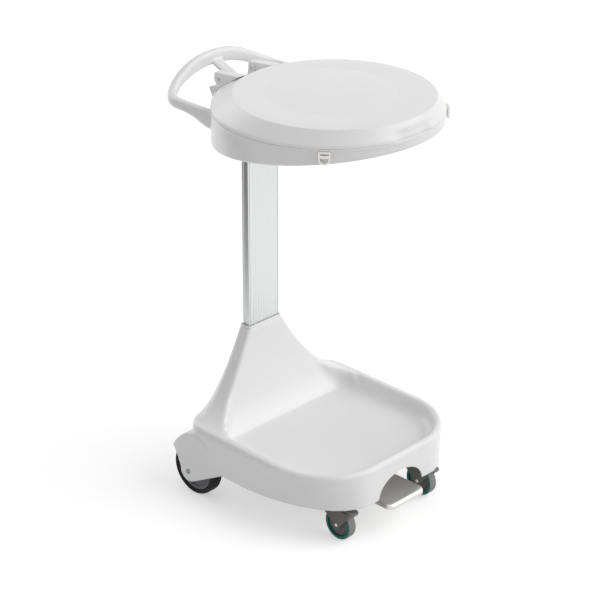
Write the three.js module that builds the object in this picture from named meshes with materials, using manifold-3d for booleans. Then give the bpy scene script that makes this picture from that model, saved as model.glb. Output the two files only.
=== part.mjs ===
// A hospital linen trolley: a moulded tray base on two rear wheels and two braked castors, with one
// aluminium column that carries a bag ring, a hinged lid and a push handle. A pedal lifts the lid
// through a rod inside the column. Millimetres, +Z up, +X to the right, the front towards -Y.

import * as THREE from "three";
import { mergeVertices } from "three/addons/utils/BufferGeometryUtils.js";
import Module from "manifold-3d";

const wasm = await Module();
wasm.setup();

// Clearances and the overrun that every cut gets
const fitGap = 0.3;
const runningGap = 0.3;
const swingGap = 2;
const overrun = 5;

// Running gear. Lengths along Y are counted from the line through both front wheels.
const castorWheelRadius = 37.5;
const castorWheelWidth = 22;
const castorHalfSpacing = 136;
const castorTrail = 27;
const castorTreadDepth = 3;
const castorBandDepth = 5;
const castorHubWidth = 18;
const castorAxleRadius = 3;
const castorStemRadius = 5.5;
const castorStemCover = 9;
const castorFlangeRadius = 21;
const castorFlangeThickness = 4;
const forkPlate = 3;
const forkSideGap = 1.2;
const forkHeadRadius = 21;
const forkHeadHeight = 12;
const forkLegEndRadius = 9;
const brakeLeverLength = 58;
const brakeLeverThickness = 3;
const brakeToeWidth = 30;
const brakeToeLength = 14;
const brakeToeDrop = 5;
const brakePinRadius = 2.5;
const brakePinOffset = 12;
const wheelbase = 375;
const rearWheelRadius = 64;
const rearWheelWidth = 36;
const rearTyreDepth = 17;
const rearHubWidth = 26;
const rearAxleRadius = 6;

// Base moulding
const wall = 4;
const baseHalfWidth = 248;
const baseFrontReach = 58;
const baseRearReach = 33;
const skirtBottomHeight = 90;
const skirtHeight = 90;
const rimDraft = 11;
const rimFrontDraft = 5;
const rimRounding = 13;
const rimSideWidth = 34;
const rimFrontWidth = 26;
const rimInnerRounding = 5;
const skirtCornerLength = 284;
const rimCornerRadius = 150;
const rearCornerRadius = 60;
const trayDepth = 35;
const trayFillet = 16;
const trayBackReach = 30;
const archSideGap = 15;
const archHeight = 50;
const castorBossRadius = 18;
const ribDepth = 22;
const ribThickness = 3;
const ribSideOffset = 70;

// Tower that rises from the tray to the column
const towerHeight = 180;
const towerFootLean = 70;
const towerTopWall = 5.4;
const towerFrontCorner = 12;
const towerTopCorner = 8;

// Wheel covers at the rear corners
const coverStandout = 6;
const coverEarRadius = 27;
const coverTailReach = 57;
const coverTailRise = 50;
const coverFrontReach = 105;
const coverTopReach = 29;
const coverWall = 5;
const coverEdge = 5;
const wheelCoverGap = 6;
const wheelOuterGap = 11;
const wheelInnerGap = 3;

// Column
const columnWidth = 96.6;
const columnDepth = 22;
const columnRearWall = 7;
const columnWall = 2.2;
const columnCorner = 3;
const columnFootRise = 45.5;
const columnChannelHalf = 13;
const collarHeight = 5;
const collarThickness = 6;
const guideHeight = 24;

// Pedal and its lever
const pedalHalfWidth = 58;
const pedalReach = 80;
const pedalTopHeight = 79;
const pedalPlate = 2.5;
const pedalLength = 95;
const pedalLip = 12;
const pedalLipRounding = 6;
const pedalCorner = 12;
const leverHalfWidth = 17;
const leverHeight = 13;
const leverWall = 2.5;
const pedalPivot = 132;
const pedalAxleRadius = 5;
const pedalHubRadius = 9;
const bracketHalfWidth = 26;
const bracketPlate = 3;
const bracketLength = 50;
const bracketFlange = 16;
const bracketBossHeight = 13;
const bracketBossRadius = 7;
const rodRadius = 5;
const rodFromColumnFront = 11;

// Bag ring
const ringRadius = 253;
const ringBehindColumn = 32;
const ringTopHeight = 944;
const ringFrontHeight = 23;
const ringRearHeight = 94;
const ringLip = 1.2;
const ringBottomRounding = 7;
const ringSideWidth = 31;
const ringEndWidth = 48;
const bagForwardShift = 23;
const bagLipHeight = 6;
const clipWidth = 26;
const clipHeight = 29;
const clipThickness = 4;
const clipStandoff = 3;
const clipFrontAngle = 48;
const clipRearAngle = 24;
const clipKnobRadius = 3.5;
const headFlange = 6;
const headWall = 6;
const headDepth = 52;
const headFlangeReach = 27.7;
const headRoofThickness = 15.4;

// Lid
const lidRise = 36;
const lidTopInset = 39;
const lidForwardShift = 22.5;
const lidWall = 3.5;
const lidRimHeight = 7;
const lidCreaseRounding = 2.4;
const lidShelfWidth = 71;
const lidDomeHeight = 7;
const scoopHalfWidth = 58;
const scoopDepth = 9;
const scoopHeight = 17;

// Hinge at the rear of the ring
const hingeBehindRing = 19;
const hingeAboveRing = 10;
const hingePinRadius = 4;
const bracketInner = 40;
const bracketOuter = 65;
const hingeBarrelRadius = 15;
const cheekThickness = 6;
const lugReach = 33;
const lugDrop = 28;
const crankHalfWidth = 11;
const crankPlate = 3;
const rollerRadius = 6;
const padThickness = 5;
const padLength = 34;
const padHalfWidth = 9;
const crankPadThickness = 3;
const crankTabLength = 32;

// Push handle
const handleArmOffset = 167.5;
const handleArmDrop = 13;
const handleWidth = 22.3;
const handleArmHeight = 25;
const handleGripHeight = 34;
const handleRootHeight = 46;
const handleBehindRing = 116.5;
const handleArmLength = 23;
const handleRise = 53.5;
const handleCornerShare = 0.635;
const strutWidth = 34;
const strutThickness = 13;

// Counts of facets and steps
const wheelFacets = 28;
const castorFacets = 20;
const smallFacets = 12;
const lidFacets = 40;
const frontCornerSteps = 8;
const rearCornerSteps = 3;
const smallCornerSteps = 2;
const roundSteps = 2;
const handleSteps = 18;
const handleSides = 10;
const quarterTurnDegrees = 90;

// Curves of the tower, as shares of its height and of its spread
const towerSideShares = [[1, 0], [0.6, 0.07], [0.226, 0.61], [0, 1]];
const towerFrontShares = [[0, 0], [0.422, 0.053], [0.899, 0.592], [1, 1]];
const towerHeightShares = [0.014, 0.036, 0.07, 0.12, 0.19, 0.29, 0.42, 0.6, 0.8, 1];
const towerFootShares = [0, 0.25, 0.6, 1];

// Shares of the sizes that they follow, one group for each piece
const halfShare = 0.5;
const crossRibShares = [0.26, 0.72];
const tyreWallShare = 1.6;
const tyreTreadShare = 1.4;
const castorBossShare = 2.4;
const castorAxleHeadShare = 1.7;
const axleHeadShare = 1.5;
const forkHeadRadiusShares = [1, 1, 0.93, 0.78];
const forkHeadHeightShares = [0, 0.45, 0.8, 1];
const forkLegShare = 0.86;
const forkPlateShare = 0.6;
const leverPadShare = 1.6;
const clipRoomShare = 1.2;
const handleRootShares = [0, 0.72, 0.85];
const handleRootHeightShares = [1, 0.92, 0.3];
const gripSquarenessShare = 0.8;
const lugTopShare = 1.6;
const lugPocketShare = 0.75;
const lugRibShare = 0.62;
const cheekTopShare = 0.6;
const domeRadiusShares = [0.9, 0.45];
const domeHollowShare = 0.5;
const domeHollowHeightShare = 0.7;
const scoopHeightShare = 1.3;
const scoopRiseShare = 0.25;
const armStartShare = 1.5;
const armCrownShare = 0.86;
const armBarrelShare = 1.1;

// Materials
const plasticWhite = material(0xf1f1f0, 0.32, 0);
const ringWhite = material(0xeeeeed, 0.36, 0);
const lidWhite = material(0xf4f4f3, 0.3, 0);
const anodised = material(0xc9cacb, 0.38, 0.85);
const steel = material(0xb9b6b1, 0.35, 0.9);
const pedalSteel = material(0xc2beb8, 0.42, 0.75);
const castorGrey = material(0x5e5c5b, 0.55, 0);
const treadGrey = material(0x8d8c8a, 0.7, 0);
const bandTeal = material(0x0f6b63, 0.5, 0);
const tyreBlack = material(0x1b1b1c, 0.75, 0);
const hubGrey = material(0x5a5a5c, 0.45, 0.3);
const capGrey = material(0x7d9497, 0.5, 0);
const guidePlastic = material(0xd8d8d2, 0.6, 0);

function material(color, roughness, metalness) {
  return new THREE.MeshStandardMaterial({ color, roughness, metalness });
}

// Helpers that turn geometry into solids and back
function solidOf(geometry) {
  const bare = geometry.clone();
  bare.deleteAttribute("normal");
  bare.deleteAttribute("uv");
  const merged = mergeVertices(bare);
  const source = merged.index.array;
  const faces = [];
  for (let i = 0; i < source.length; i += 3) {
    const [a, b, c] = [source[i], source[i + 1], source[i + 2]];
    if (a !== b && b !== c && c !== a) faces.push(a, b, c);
  }
  const vertProperties = new Float32Array(merged.attributes.position.array);
  const made = new wasm.Manifold(
    new wasm.Mesh({ numProp: 3, vertProperties, triVerts: new Uint32Array(faces) }),
  );
  return made;
}

function geometryOf(solid) {
  const mesh = solid.getMesh();
  const geometry = new THREE.BufferGeometry();
  geometry.setAttribute("position", new THREE.BufferAttribute(mesh.vertProperties, 3));
  geometry.setIndex(new THREE.BufferAttribute(mesh.triVerts, 1));
  geometry.computeVertexNormals();
  return geometry;
}

function unite(...solids) {
  return solids.reduce((whole, next) => whole.add(next));
}

function cut(solid, ...tools) {
  return tools.reduce((whole, next) => whole.subtract(next), solid);
}

// A solid through sections of equally many points, each convex and seen anticlockwise from its far end
function loft(sections) {
  const count = sections[0].length;
  const positions = sections.flat().flatMap((p) => [p.x, p.y, p.z]);
  const faces = [];
  for (let s = 0; s + 1 < sections.length; s += 1) {
    for (let i = 0; i < count; i += 1) {
      const a = s * count + i;
      const b = s * count + ((i + 1) % count);
      faces.push(a, b, b + count, a, b + count, a + count);
    }
  }
  const last = (sections.length - 1) * count;
  for (let i = 1; i + 1 < count; i += 1) {
    faces.push(0, i + 1, i);
    faces.push(last, last + i, last + i + 1);
  }
  const geometry = new THREE.BufferGeometry();
  geometry.setAttribute("position", new THREE.Float32BufferAttribute(positions, 3));
  geometry.setIndex(faces);
  return solidOf(geometry);
}

function extruded(shape, depth) {
  return new THREE.ExtrudeGeometry(shape, { depth, bevelEnabled: false, curveSegments: smallFacets });
}

function polygon(points) {
  return new THREE.Shape(points.map(([u, v]) => new THREE.Vector2(u, v)));
}

// Prisms of an outline in YZ along X, in XZ along Y, and in XY along Z
function alongX(shape, from, to) {
  const turn = new THREE.Matrix4().set(0, 0, 1, from, 1, 0, 0, 0, 0, 1, 0, 0, 0, 0, 0, 1);
  return solidOf(extruded(shape, to - from).applyMatrix4(turn));
}

function alongY(shape, from, to) {
  const geometry = extruded(shape, to - from).rotateX(Math.PI / 2);
  return solidOf(geometry.translate(0, to, 0));
}

function alongZ(shape, from, to) {
  return solidOf(extruded(shape, to - from).translate(0, 0, from));
}

function block(x0, x1, y0, y1, z0, z1) {
  const geometry = new THREE.BoxGeometry(x1 - x0, y1 - y0, z1 - z0);
  return solidOf(geometry.translate((x0 + x1) / 2, (y0 + y1) / 2, (z0 + z1) / 2));
}

// Round bars: a centre and a length along one axis
function barX(radius, from, to, y, z, facets = smallFacets) {
  const geometry = new THREE.CylinderGeometry(radius, radius, to - from, facets);
  return solidOf(geometry.rotateZ(-Math.PI / 2).translate((from + to) / 2, y, z));
}

function barY(radius, from, to, x, z, facets = smallFacets) {
  const geometry = new THREE.CylinderGeometry(radius, radius, to - from, facets);
  return solidOf(geometry.translate(x, (from + to) / 2, z));
}

function barZ(radius, from, to, x, y, facets = smallFacets) {
  const geometry = new THREE.CylinderGeometry(radius, radius, to - from, facets);
  return solidOf(geometry.rotateX(Math.PI / 2).translate(x, y, (from + to) / 2));
}

// A turned ring round the X axis, from a closed profile of [radius, place along the axis]
function turnedX(profile, x, y, z, facets = wheelFacets) {
  const points = [...profile, profile[0]].map(([r, along]) => new THREE.Vector2(r, along));
  const geometry = new THREE.LatheGeometry(points, facets);
  const solid = solidOf(geometry.rotateZ(-Math.PI / 2).translate(x, y, z));
  return solid;
}

function mirrored(solid) {
  return solid.mirror([1, 0, 0]);
}

function bothSides(solid) {
  return solid.add(mirrored(solid));
}

function mix(from, to, share) {
  return from + (to - from) * share;
}

// An arc of points round a centre, with both ends in it
function arc(x, y, radius, fromDegrees, toDegrees, steps) {
  return Array.from({ length: steps + 1 }, (_, i) => {
    const angle = THREE.MathUtils.degToRad(mix(fromDegrees, toDegrees, i / steps));
    return [x + radius * Math.cos(angle), y + radius * Math.sin(angle)];
  });
}

// A level outline with straight sides, elliptic corners at the front and round ones at the rear
function outline(shape, height) {
  const { half, front, rear, across, along = across, rearRadius, steps = frontCornerSteps } = shape;
  const unitCorner = arc(0, 0, 1, -quarterTurnDegrees, 0, steps);
  const frontCorner = unitCorner.map(([u, v]) => [half - across + u * across, front + along + v * along]);
  const rearCorner = arc(half - rearRadius, rear - rearRadius, rearRadius, 0, 90, rearCornerSteps);
  const right = [...frontCorner, ...rearCorner];
  const left = right.map(([x, y]) => [-x, y]).reverse();
  return [...right, ...left].map(([x, y]) => new THREE.Vector3(x, y, height));
}

function ellipse(halfWidth, halfLength, centre, heightAt) {
  return Array.from({ length: lidFacets }, (_, i) => {
    const angle = (2 * Math.PI * i) / lidFacets;
    const y = centre + halfLength * Math.sin(angle);
    return new THREE.Vector3(halfWidth * Math.cos(angle), y, heightAt(y));
  });
}

const level = (height) => () => height;

// Places that follow from the sizes above
const baseRear = wheelbase + baseRearReach;
const rimHeight = skirtBottomHeight + skirtHeight;
const towerTopHeight = rimHeight + towerHeight;
const trayFloor = rimHeight - trayDepth;
const floorUnderside = trayFloor - wall;
const archHalfWidth = pedalHalfWidth + archSideGap;
const coverReach = baseHalfWidth + coverStandout;
const coverInner = coverReach - 2 * coverWall - wheelOuterGap - rearWheelWidth - wheelInnerGap;
const rearWheelHalfTrack = coverReach - coverWall - wheelOuterGap - rearWheelWidth / 2;
const columnFront = baseRear - columnRearWall - columnDepth;
const columnBottom = trayFloor + columnFootRise;
const rimHalfWidth = baseHalfWidth - rimDraft;
const rimFront = rimFrontDraft - baseFrontReach;
const towerFootHalf = rimHalfWidth - rimRounding - wall / 2;
const columnRear = columnFront + columnDepth;
const columnMiddle = columnFront + columnDepth / 2;
const towerTopHalf = columnWidth / 2 + towerTopWall;
const towerTopFront = columnFront - towerTopWall;
const rodY = columnFront + rodFromColumnFront;
const swivelY = castorTrail;
const bossBottom = castorWheelRadius * 2 + forkPlate + forkHeadHeight + castorFlangeThickness;
const castorStemTop = floorUnderside - castorStemCover;
const bracketTop = floorUnderside - bracketBossHeight;
const headTop = ringTopHeight - wall - fitGap;
const columnTop = headTop - headRoofThickness - fitGap;
const ringRear = columnRear + ringBehindColumn;
const ringCentre = ringRear - ringRadius;
const ringFront = ringCentre - ringRadius;
const bagCentre = ringCentre - bagForwardShift;
const leverTop = pedalTopHeight - pedalPlate - fitGap;
const hingeY = ringRear + hingeBehindRing;
const hingeZ = ringTopHeight + hingeAboveRing;
const lidHeight = ringTopHeight + lidRise;
const lidUnderside = lidHeight - lidWall;
const lidTopRadius = ringRadius - lidTopInset;
const lidTopCentre = ringCentre - lidForwardShift;
const lidDomeRadius = lidTopRadius - lidShelfWidth;
const handleArmTop = ringTopHeight - handleArmDrop;
const handleBend = ringRear + handleArmLength;
const handleRear = ringRear + handleBehindRing;

// Base moulding: outer skirt, tray, tower and wheel covers in one shell
function baseSection(height, inset, rearInset) {
  const share = (height - skirtBottomHeight) / (rimHeight - skirtBottomHeight);
  const half = baseHalfWidth - rimDraft * share - inset;
  const front = rimFrontDraft * share - baseFrontReach + inset;
  const along = mix(skirtCornerLength, rimCornerRadius, share) - inset;
  const corners = { across: rimCornerRadius - inset, along, rearRadius: rearCornerRadius - inset };
  return outline({ half, front, rear: baseRear - rearInset, ...corners }, height);
}

function skirtSolid() {
  const rounded = Array.from({ length: roundSteps + 1 }, (_, i) => {
    const angle = ((Math.PI / 2) * i) / roundSteps;
    const height = rimHeight - rimRounding * (1 - Math.sin(angle));
    return baseSection(height, rimRounding * (1 - Math.cos(angle)), 0);
  });
  return loft([baseSection(skirtBottomHeight, 0, 0), ...rounded]);
}

function skirtCavity() {
  const ceiling = rimHeight - rimRounding;
  return loft([baseSection(skirtBottomHeight - overrun, wall, wall), baseSection(ceiling, wall, wall)]);
}

function traySection(height, inset) {
  const half = rimHalfWidth - rimSideWidth - inset;
  const front = rimFront + rimFrontWidth + inset;
  const across = rimCornerRadius - rimSideWidth - inset;
  const rear = baseRear - trayBackReach;
  return outline({ half, front, rear, across, rearRadius: trayFillet + wall }, height);
}

function traySolid(grow) {
  const bottom = Array.from({ length: roundSteps + 1 }, (_, i) => {
    const angle = ((Math.PI / 2) * i) / roundSteps;
    const height = trayFloor - grow + trayFillet * (1 - Math.cos(angle));
    return traySection(height, trayFillet * (1 - Math.sin(angle)) - grow);
  });
  const edge = traySection(rimHeight - rimInnerRounding, -grow);
  const flare = traySection(rimHeight, -grow - rimInnerRounding / 2);
  const top = traySection(rimHeight + overrun, -grow - rimInnerRounding);
  return loft([...bottom, edge, flare, top]);
}

// The tower's half width and front face at a height, read off two cubic curves
function curveAt(shares, heightShare) {
  const points = shares.map(([across, up]) => new THREE.Vector2(across, up));
  const curve = new THREE.CubicBezierCurve(...points);
  let [low, high] = [0, 1];
  for (let i = 0; i < 40; i += 1) {
    const middle = (low + high) / 2;
    if (curve.getPoint(middle).y < heightShare) low = middle;
    else high = middle;
  }
  return curve.getPoint((low + high) / 2).x;
}

function towerFront(height) {
  const share = (height - trayFloor) / (towerTopHeight - trayFloor);
  return towerTopFront - towerFootLean * (1 - curveAt(towerFrontShares, Math.max(share, 0)));
}

function towerSection(height, inset) {
  const share = Math.max((height - rimHeight) / (towerTopHeight - rimHeight), 0);
  const spread = curveAt(towerSideShares, share);
  const half = mix(towerTopHalf, towerFootHalf, spread) - inset;
  const across = mix(towerTopCorner, towerFrontCorner, spread) - inset / 2;
  const rearRadius = mix(towerTopCorner, rearCornerRadius - rimRounding, spread) - inset / 2;
  const front = towerFront(height) + inset;
  const corners = { across, rearRadius, steps: smallCornerSteps };
  return outline({ half, front, rear: baseRear - inset, ...corners }, height);
}

function towerSolid(inset, bottom, top) {
  const foot = towerFootShares.map((share) => mix(bottom, rimHeight, share));
  const rising = towerHeightShares.map((share) => mix(rimHeight, top, share));
  return loft([...foot, ...rising].map((height) => towerSection(height, inset)));
}

// Wheel cover: side outline round the rear wheel, drawn in YZ
function coverShape(inset) {
  const ear = coverEarRadius - inset;
  const tailY = wheelbase + coverTailReach - inset;
  const tailZ = rearWheelRadius + coverTailRise - inset / 2;
  const frontY = wheelbase - coverFrontReach + inset;
  const topY = wheelbase - coverTopReach;
  const topZ = rimHeight - rimRounding / 2 - inset;
  const shape = new THREE.Shape();
  shape.moveTo(frontY, skirtBottomHeight);
  arc(wheelbase, rearWheelRadius, ear, -112, 12, smallFacets / 2).forEach(([y, z]) => shape.lineTo(y, z));
  shape.lineTo(tailY, tailZ);
  shape.quadraticCurveTo(mix(tailY, topY, halfShare), topZ - trayFillet / 2, topY, topZ);
  shape.lineTo(frontY, topZ);
  return shape;
}

function coverPlan(inset) {
  const inner = coverInner + inset;
  const outer = coverReach - inset;
  const front = wheelbase - coverFrontReach - overrun;
  const rear = wheelbase + coverTailReach + overrun;
  return polygon([
    [inner, front],
    [rimHalfWidth - inset, front],
    [outer, wheelbase - coverTopReach],
    [outer, rear],
    [inner, rear],
  ]);
}

function coverSolid() {
  const shape = coverShape(0);
  const depth = coverReach - coverInner - 2 * coverEdge;
  const bevel = { bevelEnabled: true, bevelThickness: coverEdge, bevelSize: coverEdge };
  const settings = { depth, ...bevel, bevelOffset: -coverEdge, bevelSegments: 1, curveSegments: 5 };
  const turn = new THREE.Matrix4().set(0, 0, 1, 0, 1, 0, 0, 0, 0, 1, 0, 0, 0, 0, 0, 1);
  const geometry = new THREE.ExtrudeGeometry(shape, settings).applyMatrix4(turn);
  geometry.translate(coverInner + coverEdge, 0, 0);
  const plan = alongZ(coverPlan(0), 0, rimHeight + overrun);
  return solidOf(geometry).intersect(plan);
}

function wheelWell() {
  const radius = rearWheelRadius + wheelCoverGap;
  const inner = coverInner + coverWall;
  const outer = coverReach - coverWall;
  const drum = barX(radius, inner, outer, wheelbase, rearWheelRadius, wheelFacets);
  const below = block(inner, outer, wheelbase - radius, wheelbase + radius, -overrun, rearWheelRadius);
  const behind = block(inner, outer, wheelbase, baseRear + radius, -overrun, rearWheelRadius);
  const plan = alongZ(coverPlan(coverWall), -overrun, rimHeight);
  return unite(drum, below, behind).intersect(plan);
}

function coverPocket() {
  const inner = coverInner + coverWall;
  const outer = coverReach - coverWall;
  const drum = rearWheelRadius + wheelCoverGap + wall;
  const closed = alongX(coverShape(coverWall), inner, outer);
  const space = closed.add(closed.translate([0, 0, -rearWheelRadius]));
  const keep = barX(drum, inner, outer, wheelbase, rearWheelRadius, wheelFacets);
  const under = block(inner, outer, wheelbase, wheelbase + coverTailReach * 2, 0, rimHeight);
  return cut(space.intersect(alongZ(coverPlan(coverWall), 0, rimHeight)), keep, under);
}

function archShape(grow) {
  const shape = new THREE.Shape();
  shape.moveTo(archHalfWidth + grow, skirtBottomHeight - overrun);
  const points = arc(0, 0, 1, 0, 180, smallFacets);
  const [half, rise] = [archHalfWidth + grow, archHeight + grow];
  points.forEach(([x, z]) => shape.lineTo(x * half, skirtBottomHeight + z * rise));
  shape.lineTo(-archHalfWidth - grow, skirtBottomHeight - overrun);
  return shape;
}

function socketSolid() {
  const half = columnWidth / 2 + fitGap + wall;
  const front = columnFront - fitGap - wall;
  const bottom = columnBottom - fitGap - wall;
  return block(-half, half, front, baseRear - wall / 2, bottom, towerTopHeight);
}

function socketCut() {
  const half = columnWidth / 2 + fitGap;
  const [front, rear] = [columnFront - fitGap, columnRear + fitGap];
  const pocket = block(-half, half, front, rear, columnBottom - fitGap, towerTopHeight + overrun);
  const rodHole = barZ(rodRadius + swingGap, columnBottom - 2 * wall - overrun, columnBottom, 0, rodY);
  return pocket.add(rodHole);
}

function underRibs() {
  const bottom = floorUnderside - ribDepth;
  const top = floorUnderside + wall / 2;
  const back = towerFront(trayFloor);
  const front = rimFront + rimFrontWidth;
  const lengthways = bothSides(
    block(ribSideOffset, ribSideOffset + ribThickness, front, back, bottom, top),
  );
  const crossways = crossRibShares.map((share) => {
    const y = mix(front, back, share);
    return block(-rimHalfWidth, rimHalfWidth, y, y + ribThickness, bottom, top);
  });
  return unite(lengthways, ...crossways);
}

function makeBase() {
  const tower = towerSolid(0, floorUnderside, towerTopHeight);
  const outer = skirtSolid().subtract(traySolid(0)).add(tower);
  const hollow = skirtCavity().subtract(traySolid(wall));
  const towerHollow = towerSolid(wall, floorUnderside - wall, towerTopHeight - wall);
  const webFront = columnMiddle - ribThickness / 2;
  const webRear = webFront + ribThickness;
  const web = block(-rimHalfWidth, rimHalfWidth, webFront, webRear, rimHeight, towerTopHeight);
  const ribs = underRibs().intersect(skirtSolid());
  const floorMiddle = trayFloor - wall / 2;
  const castorBoss = barZ(castorBossRadius, bossBottom, floorMiddle, castorHalfSpacing, swivelY);
  const bossX = bracketHalfWidth + bracketPlate + bracketFlange / 2;
  const bracketBoss = unite(
    ...[-1, 1].map((end) => {
      const y = pedalPivot + (end * bracketLength) / 3;
      return barZ(bracketBossRadius, bracketTop + fitGap, floorMiddle, bossX, y, smallFacets);
    }),
  );
  let shell = cut(outer, hollow, towerHollow);
  const bosses = [bothSides(castorBoss), bothSides(bracketBoss)];
  shell = unite(shell, web.intersect(tower), socketSolid(), ribs, ...bosses);
  const cover = cut(coverSolid(), traySolid(wall / 2), towerHollow);
  shell = shell.add(bothSides(cover));
  const stemRadius = castorStemRadius + fitGap;
  const stemHole = barZ(stemRadius, bossBottom - overrun, castorStemTop, castorHalfSpacing, swivelY);
  const axleHole = barX(rearAxleRadius + fitGap, 0, coverReach + overrun, wheelbase, rearWheelRadius);
  const arch = alongY(archShape(0), -baseFrontReach - overrun, rimFront + rimFrontWidth - wall);
  const holes = [bothSides(stemHole), bothSides(axleHole)];
  return cut(shell, bothSides(coverPocket()), bothSides(wheelWell()), arch, socketCut(), ...holes);
}

// Rear wheels
function makeRearTyre() {
  const outer = rearWheelRadius;
  const inner = rearWheelRadius - rearTyreDepth;
  const half = rearWheelWidth / 2;
  const shoulder = rearTyreDepth / 3;
  const profile = [
    [inner, -half + wall],
    [outer - shoulder * tyreWallShare, -half],
    [outer - shoulder / 2, -half + shoulder / 2],
    [outer, -half + shoulder * tyreTreadShare],
    [outer, half - shoulder * tyreTreadShare],
    [outer - shoulder / 2, half - shoulder / 2],
    [outer - shoulder * tyreWallShare, half],
    [inner, half - wall],
  ];
  return turnedX(profile, rearWheelHalfTrack, wheelbase, rearWheelRadius);
}

function makeRearHub() {
  const outer = rearWheelRadius - rearTyreDepth - fitGap;
  const half = rearHubWidth / 2;
  const bore = rearAxleRadius + runningGap;
  const bossRadius = rearAxleRadius * 2;
  const dish = half / 2;
  const profile = [
    [bore, -half],
    [bossRadius, -half],
    [bossRadius + wall, -dish],
    [outer - wall * 2, -dish],
    [outer, -half],
    [outer, half],
    [outer - wall * 2, dish],
    [bossRadius + wall, dish],
    [bossRadius, half],
    [bore, half],
  ];
  return turnedX(profile, rearWheelHalfTrack, wheelbase, rearWheelRadius);
}

function makeRearAxle() {
  const from = coverInner - wall;
  const head = barX(rearAxleRadius * axleHeadShare, from - wall, from, wheelbase, rearWheelRadius);
  const shank = barX(rearAxleRadius, from, coverReach - coverWall / 2, wheelbase, rearWheelRadius);
  return shank.add(head);
}

function makeAxleCap() {
  const from = coverReach - coverWall / 2 + fitGap;
  return barX(rearAxleRadius - fitGap, from, coverReach + ringLip, wheelbase, rearWheelRadius);
}

// Front castors, drawn about the wheel's middle and moved to their side
function makeCastorTread() {
  const outer = castorWheelRadius;
  const inner = outer - castorTreadDepth;
  const half = castorWheelWidth / 2;
  const shoulder = castorTreadDepth / 2;
  const profile = [
    [inner, -half + shoulder / 2],
    [outer - shoulder, -half + shoulder / 2],
    [outer, -half + shoulder * 2],
    [outer, half - shoulder * 2],
    [outer - shoulder, half - shoulder / 2],
    [inner, half - shoulder / 2],
  ];
  return turnedX(profile, 0, 0, castorWheelRadius, castorFacets);
}

function makeCastorBand() {
  const outer = castorWheelRadius - castorTreadDepth - fitGap;
  const inner = outer - castorBandDepth;
  const half = castorWheelWidth / 2;
  const profile = [
    [inner, -half],
    [outer, -half],
    [outer, half],
    [inner, half],
  ];
  return turnedX(profile, 0, 0, castorWheelRadius, castorFacets);
}

function makeCastorHub() {
  const outer = castorWheelRadius - castorTreadDepth - castorBandDepth - 2 * fitGap;
  const half = castorHubWidth / 2;
  const bore = castorAxleRadius + runningGap;
  const boss = castorAxleRadius * castorBossShare;
  const profile = [
    [bore, -castorWheelWidth / 2],
    [boss, -castorWheelWidth / 2],
    [boss + ribThickness, -half],
    [outer, -half],
    [outer, half],
    [boss + ribThickness, half],
    [boss, castorWheelWidth / 2],
    [bore, castorWheelWidth / 2],
  ];
  return turnedX(profile, 0, 0, castorWheelRadius, castorFacets);
}

const forkInner = castorWheelWidth / 2 + forkSideGap;
const forkOuter = forkInner + forkPlate;
const forkHeadBottom = 2 * castorWheelRadius + forkPlate;
const forkHeadTop = forkHeadBottom + forkHeadHeight - fitGap;

function makeCastorFork() {
  const legShape = new THREE.Shape();
  arc(0, castorWheelRadius, forkLegEndRadius, 150, 330, smallFacets / 2).forEach(([y, z], i) => {
    if (i === 0) legShape.moveTo(y, z);
    else legShape.lineTo(y, z);
  });
  const legReach = forkHeadRadius * forkLegShare;
  legShape.lineTo(castorTrail + legReach, forkHeadBottom - forkHeadHeight / 2);
  legShape.lineTo(castorTrail + legReach, forkHeadBottom + forkHeadHeight / 3);
  legShape.lineTo(castorTrail - legReach, forkHeadBottom + forkHeadHeight / 3);
  const legs = bothSides(alongX(legShape, forkInner, forkOuter));
  const skirt = forkHeadRadiusShares.map((share) => share * forkHeadRadius);
  const heights = forkHeadHeightShares.map((share) => mix(forkHeadBottom, forkHeadTop, share));
  const rings = skirt.map((radius, i) => {
    const circle = arc(0, castorTrail, radius, 0, 360, smallFacets).slice(1);
    return circle.map(([x, y]) => new THREE.Vector3(x, y, heights[i]));
  });
  const head = loft(rings);
  const plateRear = castorTrail + forkHeadRadius * forkPlateShare;
  const plateTop = forkHeadBottom + forkPlate;
  const plate = block(-forkOuter, forkOuter, castorTrail - legReach, plateRear, forkHeadBottom, plateTop);
  const body = unite(legs, head, plate);
  const roomRadius = castorWheelRadius + forkSideGap;
  const wheelRoom = barX(roomRadius, -forkInner, forkInner, 0, castorWheelRadius, castorFacets);
  const side = forkOuter + overrun;
  const axleHole = barX(castorAxleRadius + fitGap, -side, side, 0, castorWheelRadius);
  const [pinY, pinZ] = brakePivot();
  const pinHole = barX(brakePinRadius + fitGap, -side, side, pinY, pinZ);
  const swing = brakeLeverThickness * 2;
  const [roomRear, roomBottom] = [pinY + swing, pinZ - swing];
  const holeTop = forkHeadTop + overrun;
  const leverRoom = block(-forkInner, forkInner, -brakeLeverLength, roomRear, roomBottom, holeTop);
  const stemHole = barZ(castorStemRadius + fitGap, forkHeadBottom - overrun, holeTop, 0, castorTrail);
  return cut(body, wheelRoom, axleHole, pinHole, leverRoom, stemHole);
}

function brakePivot() {
  return [castorTrail - brakePinOffset - castorStemRadius, forkHeadBottom + brakeLeverThickness];
}

function makeCastorAxle() {
  const head = castorAxleRadius * castorAxleHeadShare;
  const end = forkOuter + forkPlate / 2;
  const heads = bothSides(barX(head, forkOuter + fitGap, end, 0, castorWheelRadius));
  return heads.add(barX(castorAxleRadius, -end, end, 0, castorWheelRadius));
}

function makeCastorStem() {
  const flangeBottom = bossBottom - castorFlangeThickness;
  const flangeTop = bossBottom - fitGap;
  const flange = barZ(castorFlangeRadius, flangeBottom, flangeTop, 0, castorTrail, castorFacets / 2);
  const pin = barZ(castorStemRadius, forkHeadBottom, castorStemTop - fitGap, 0, castorTrail);
  return flange.add(pin);
}

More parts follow.
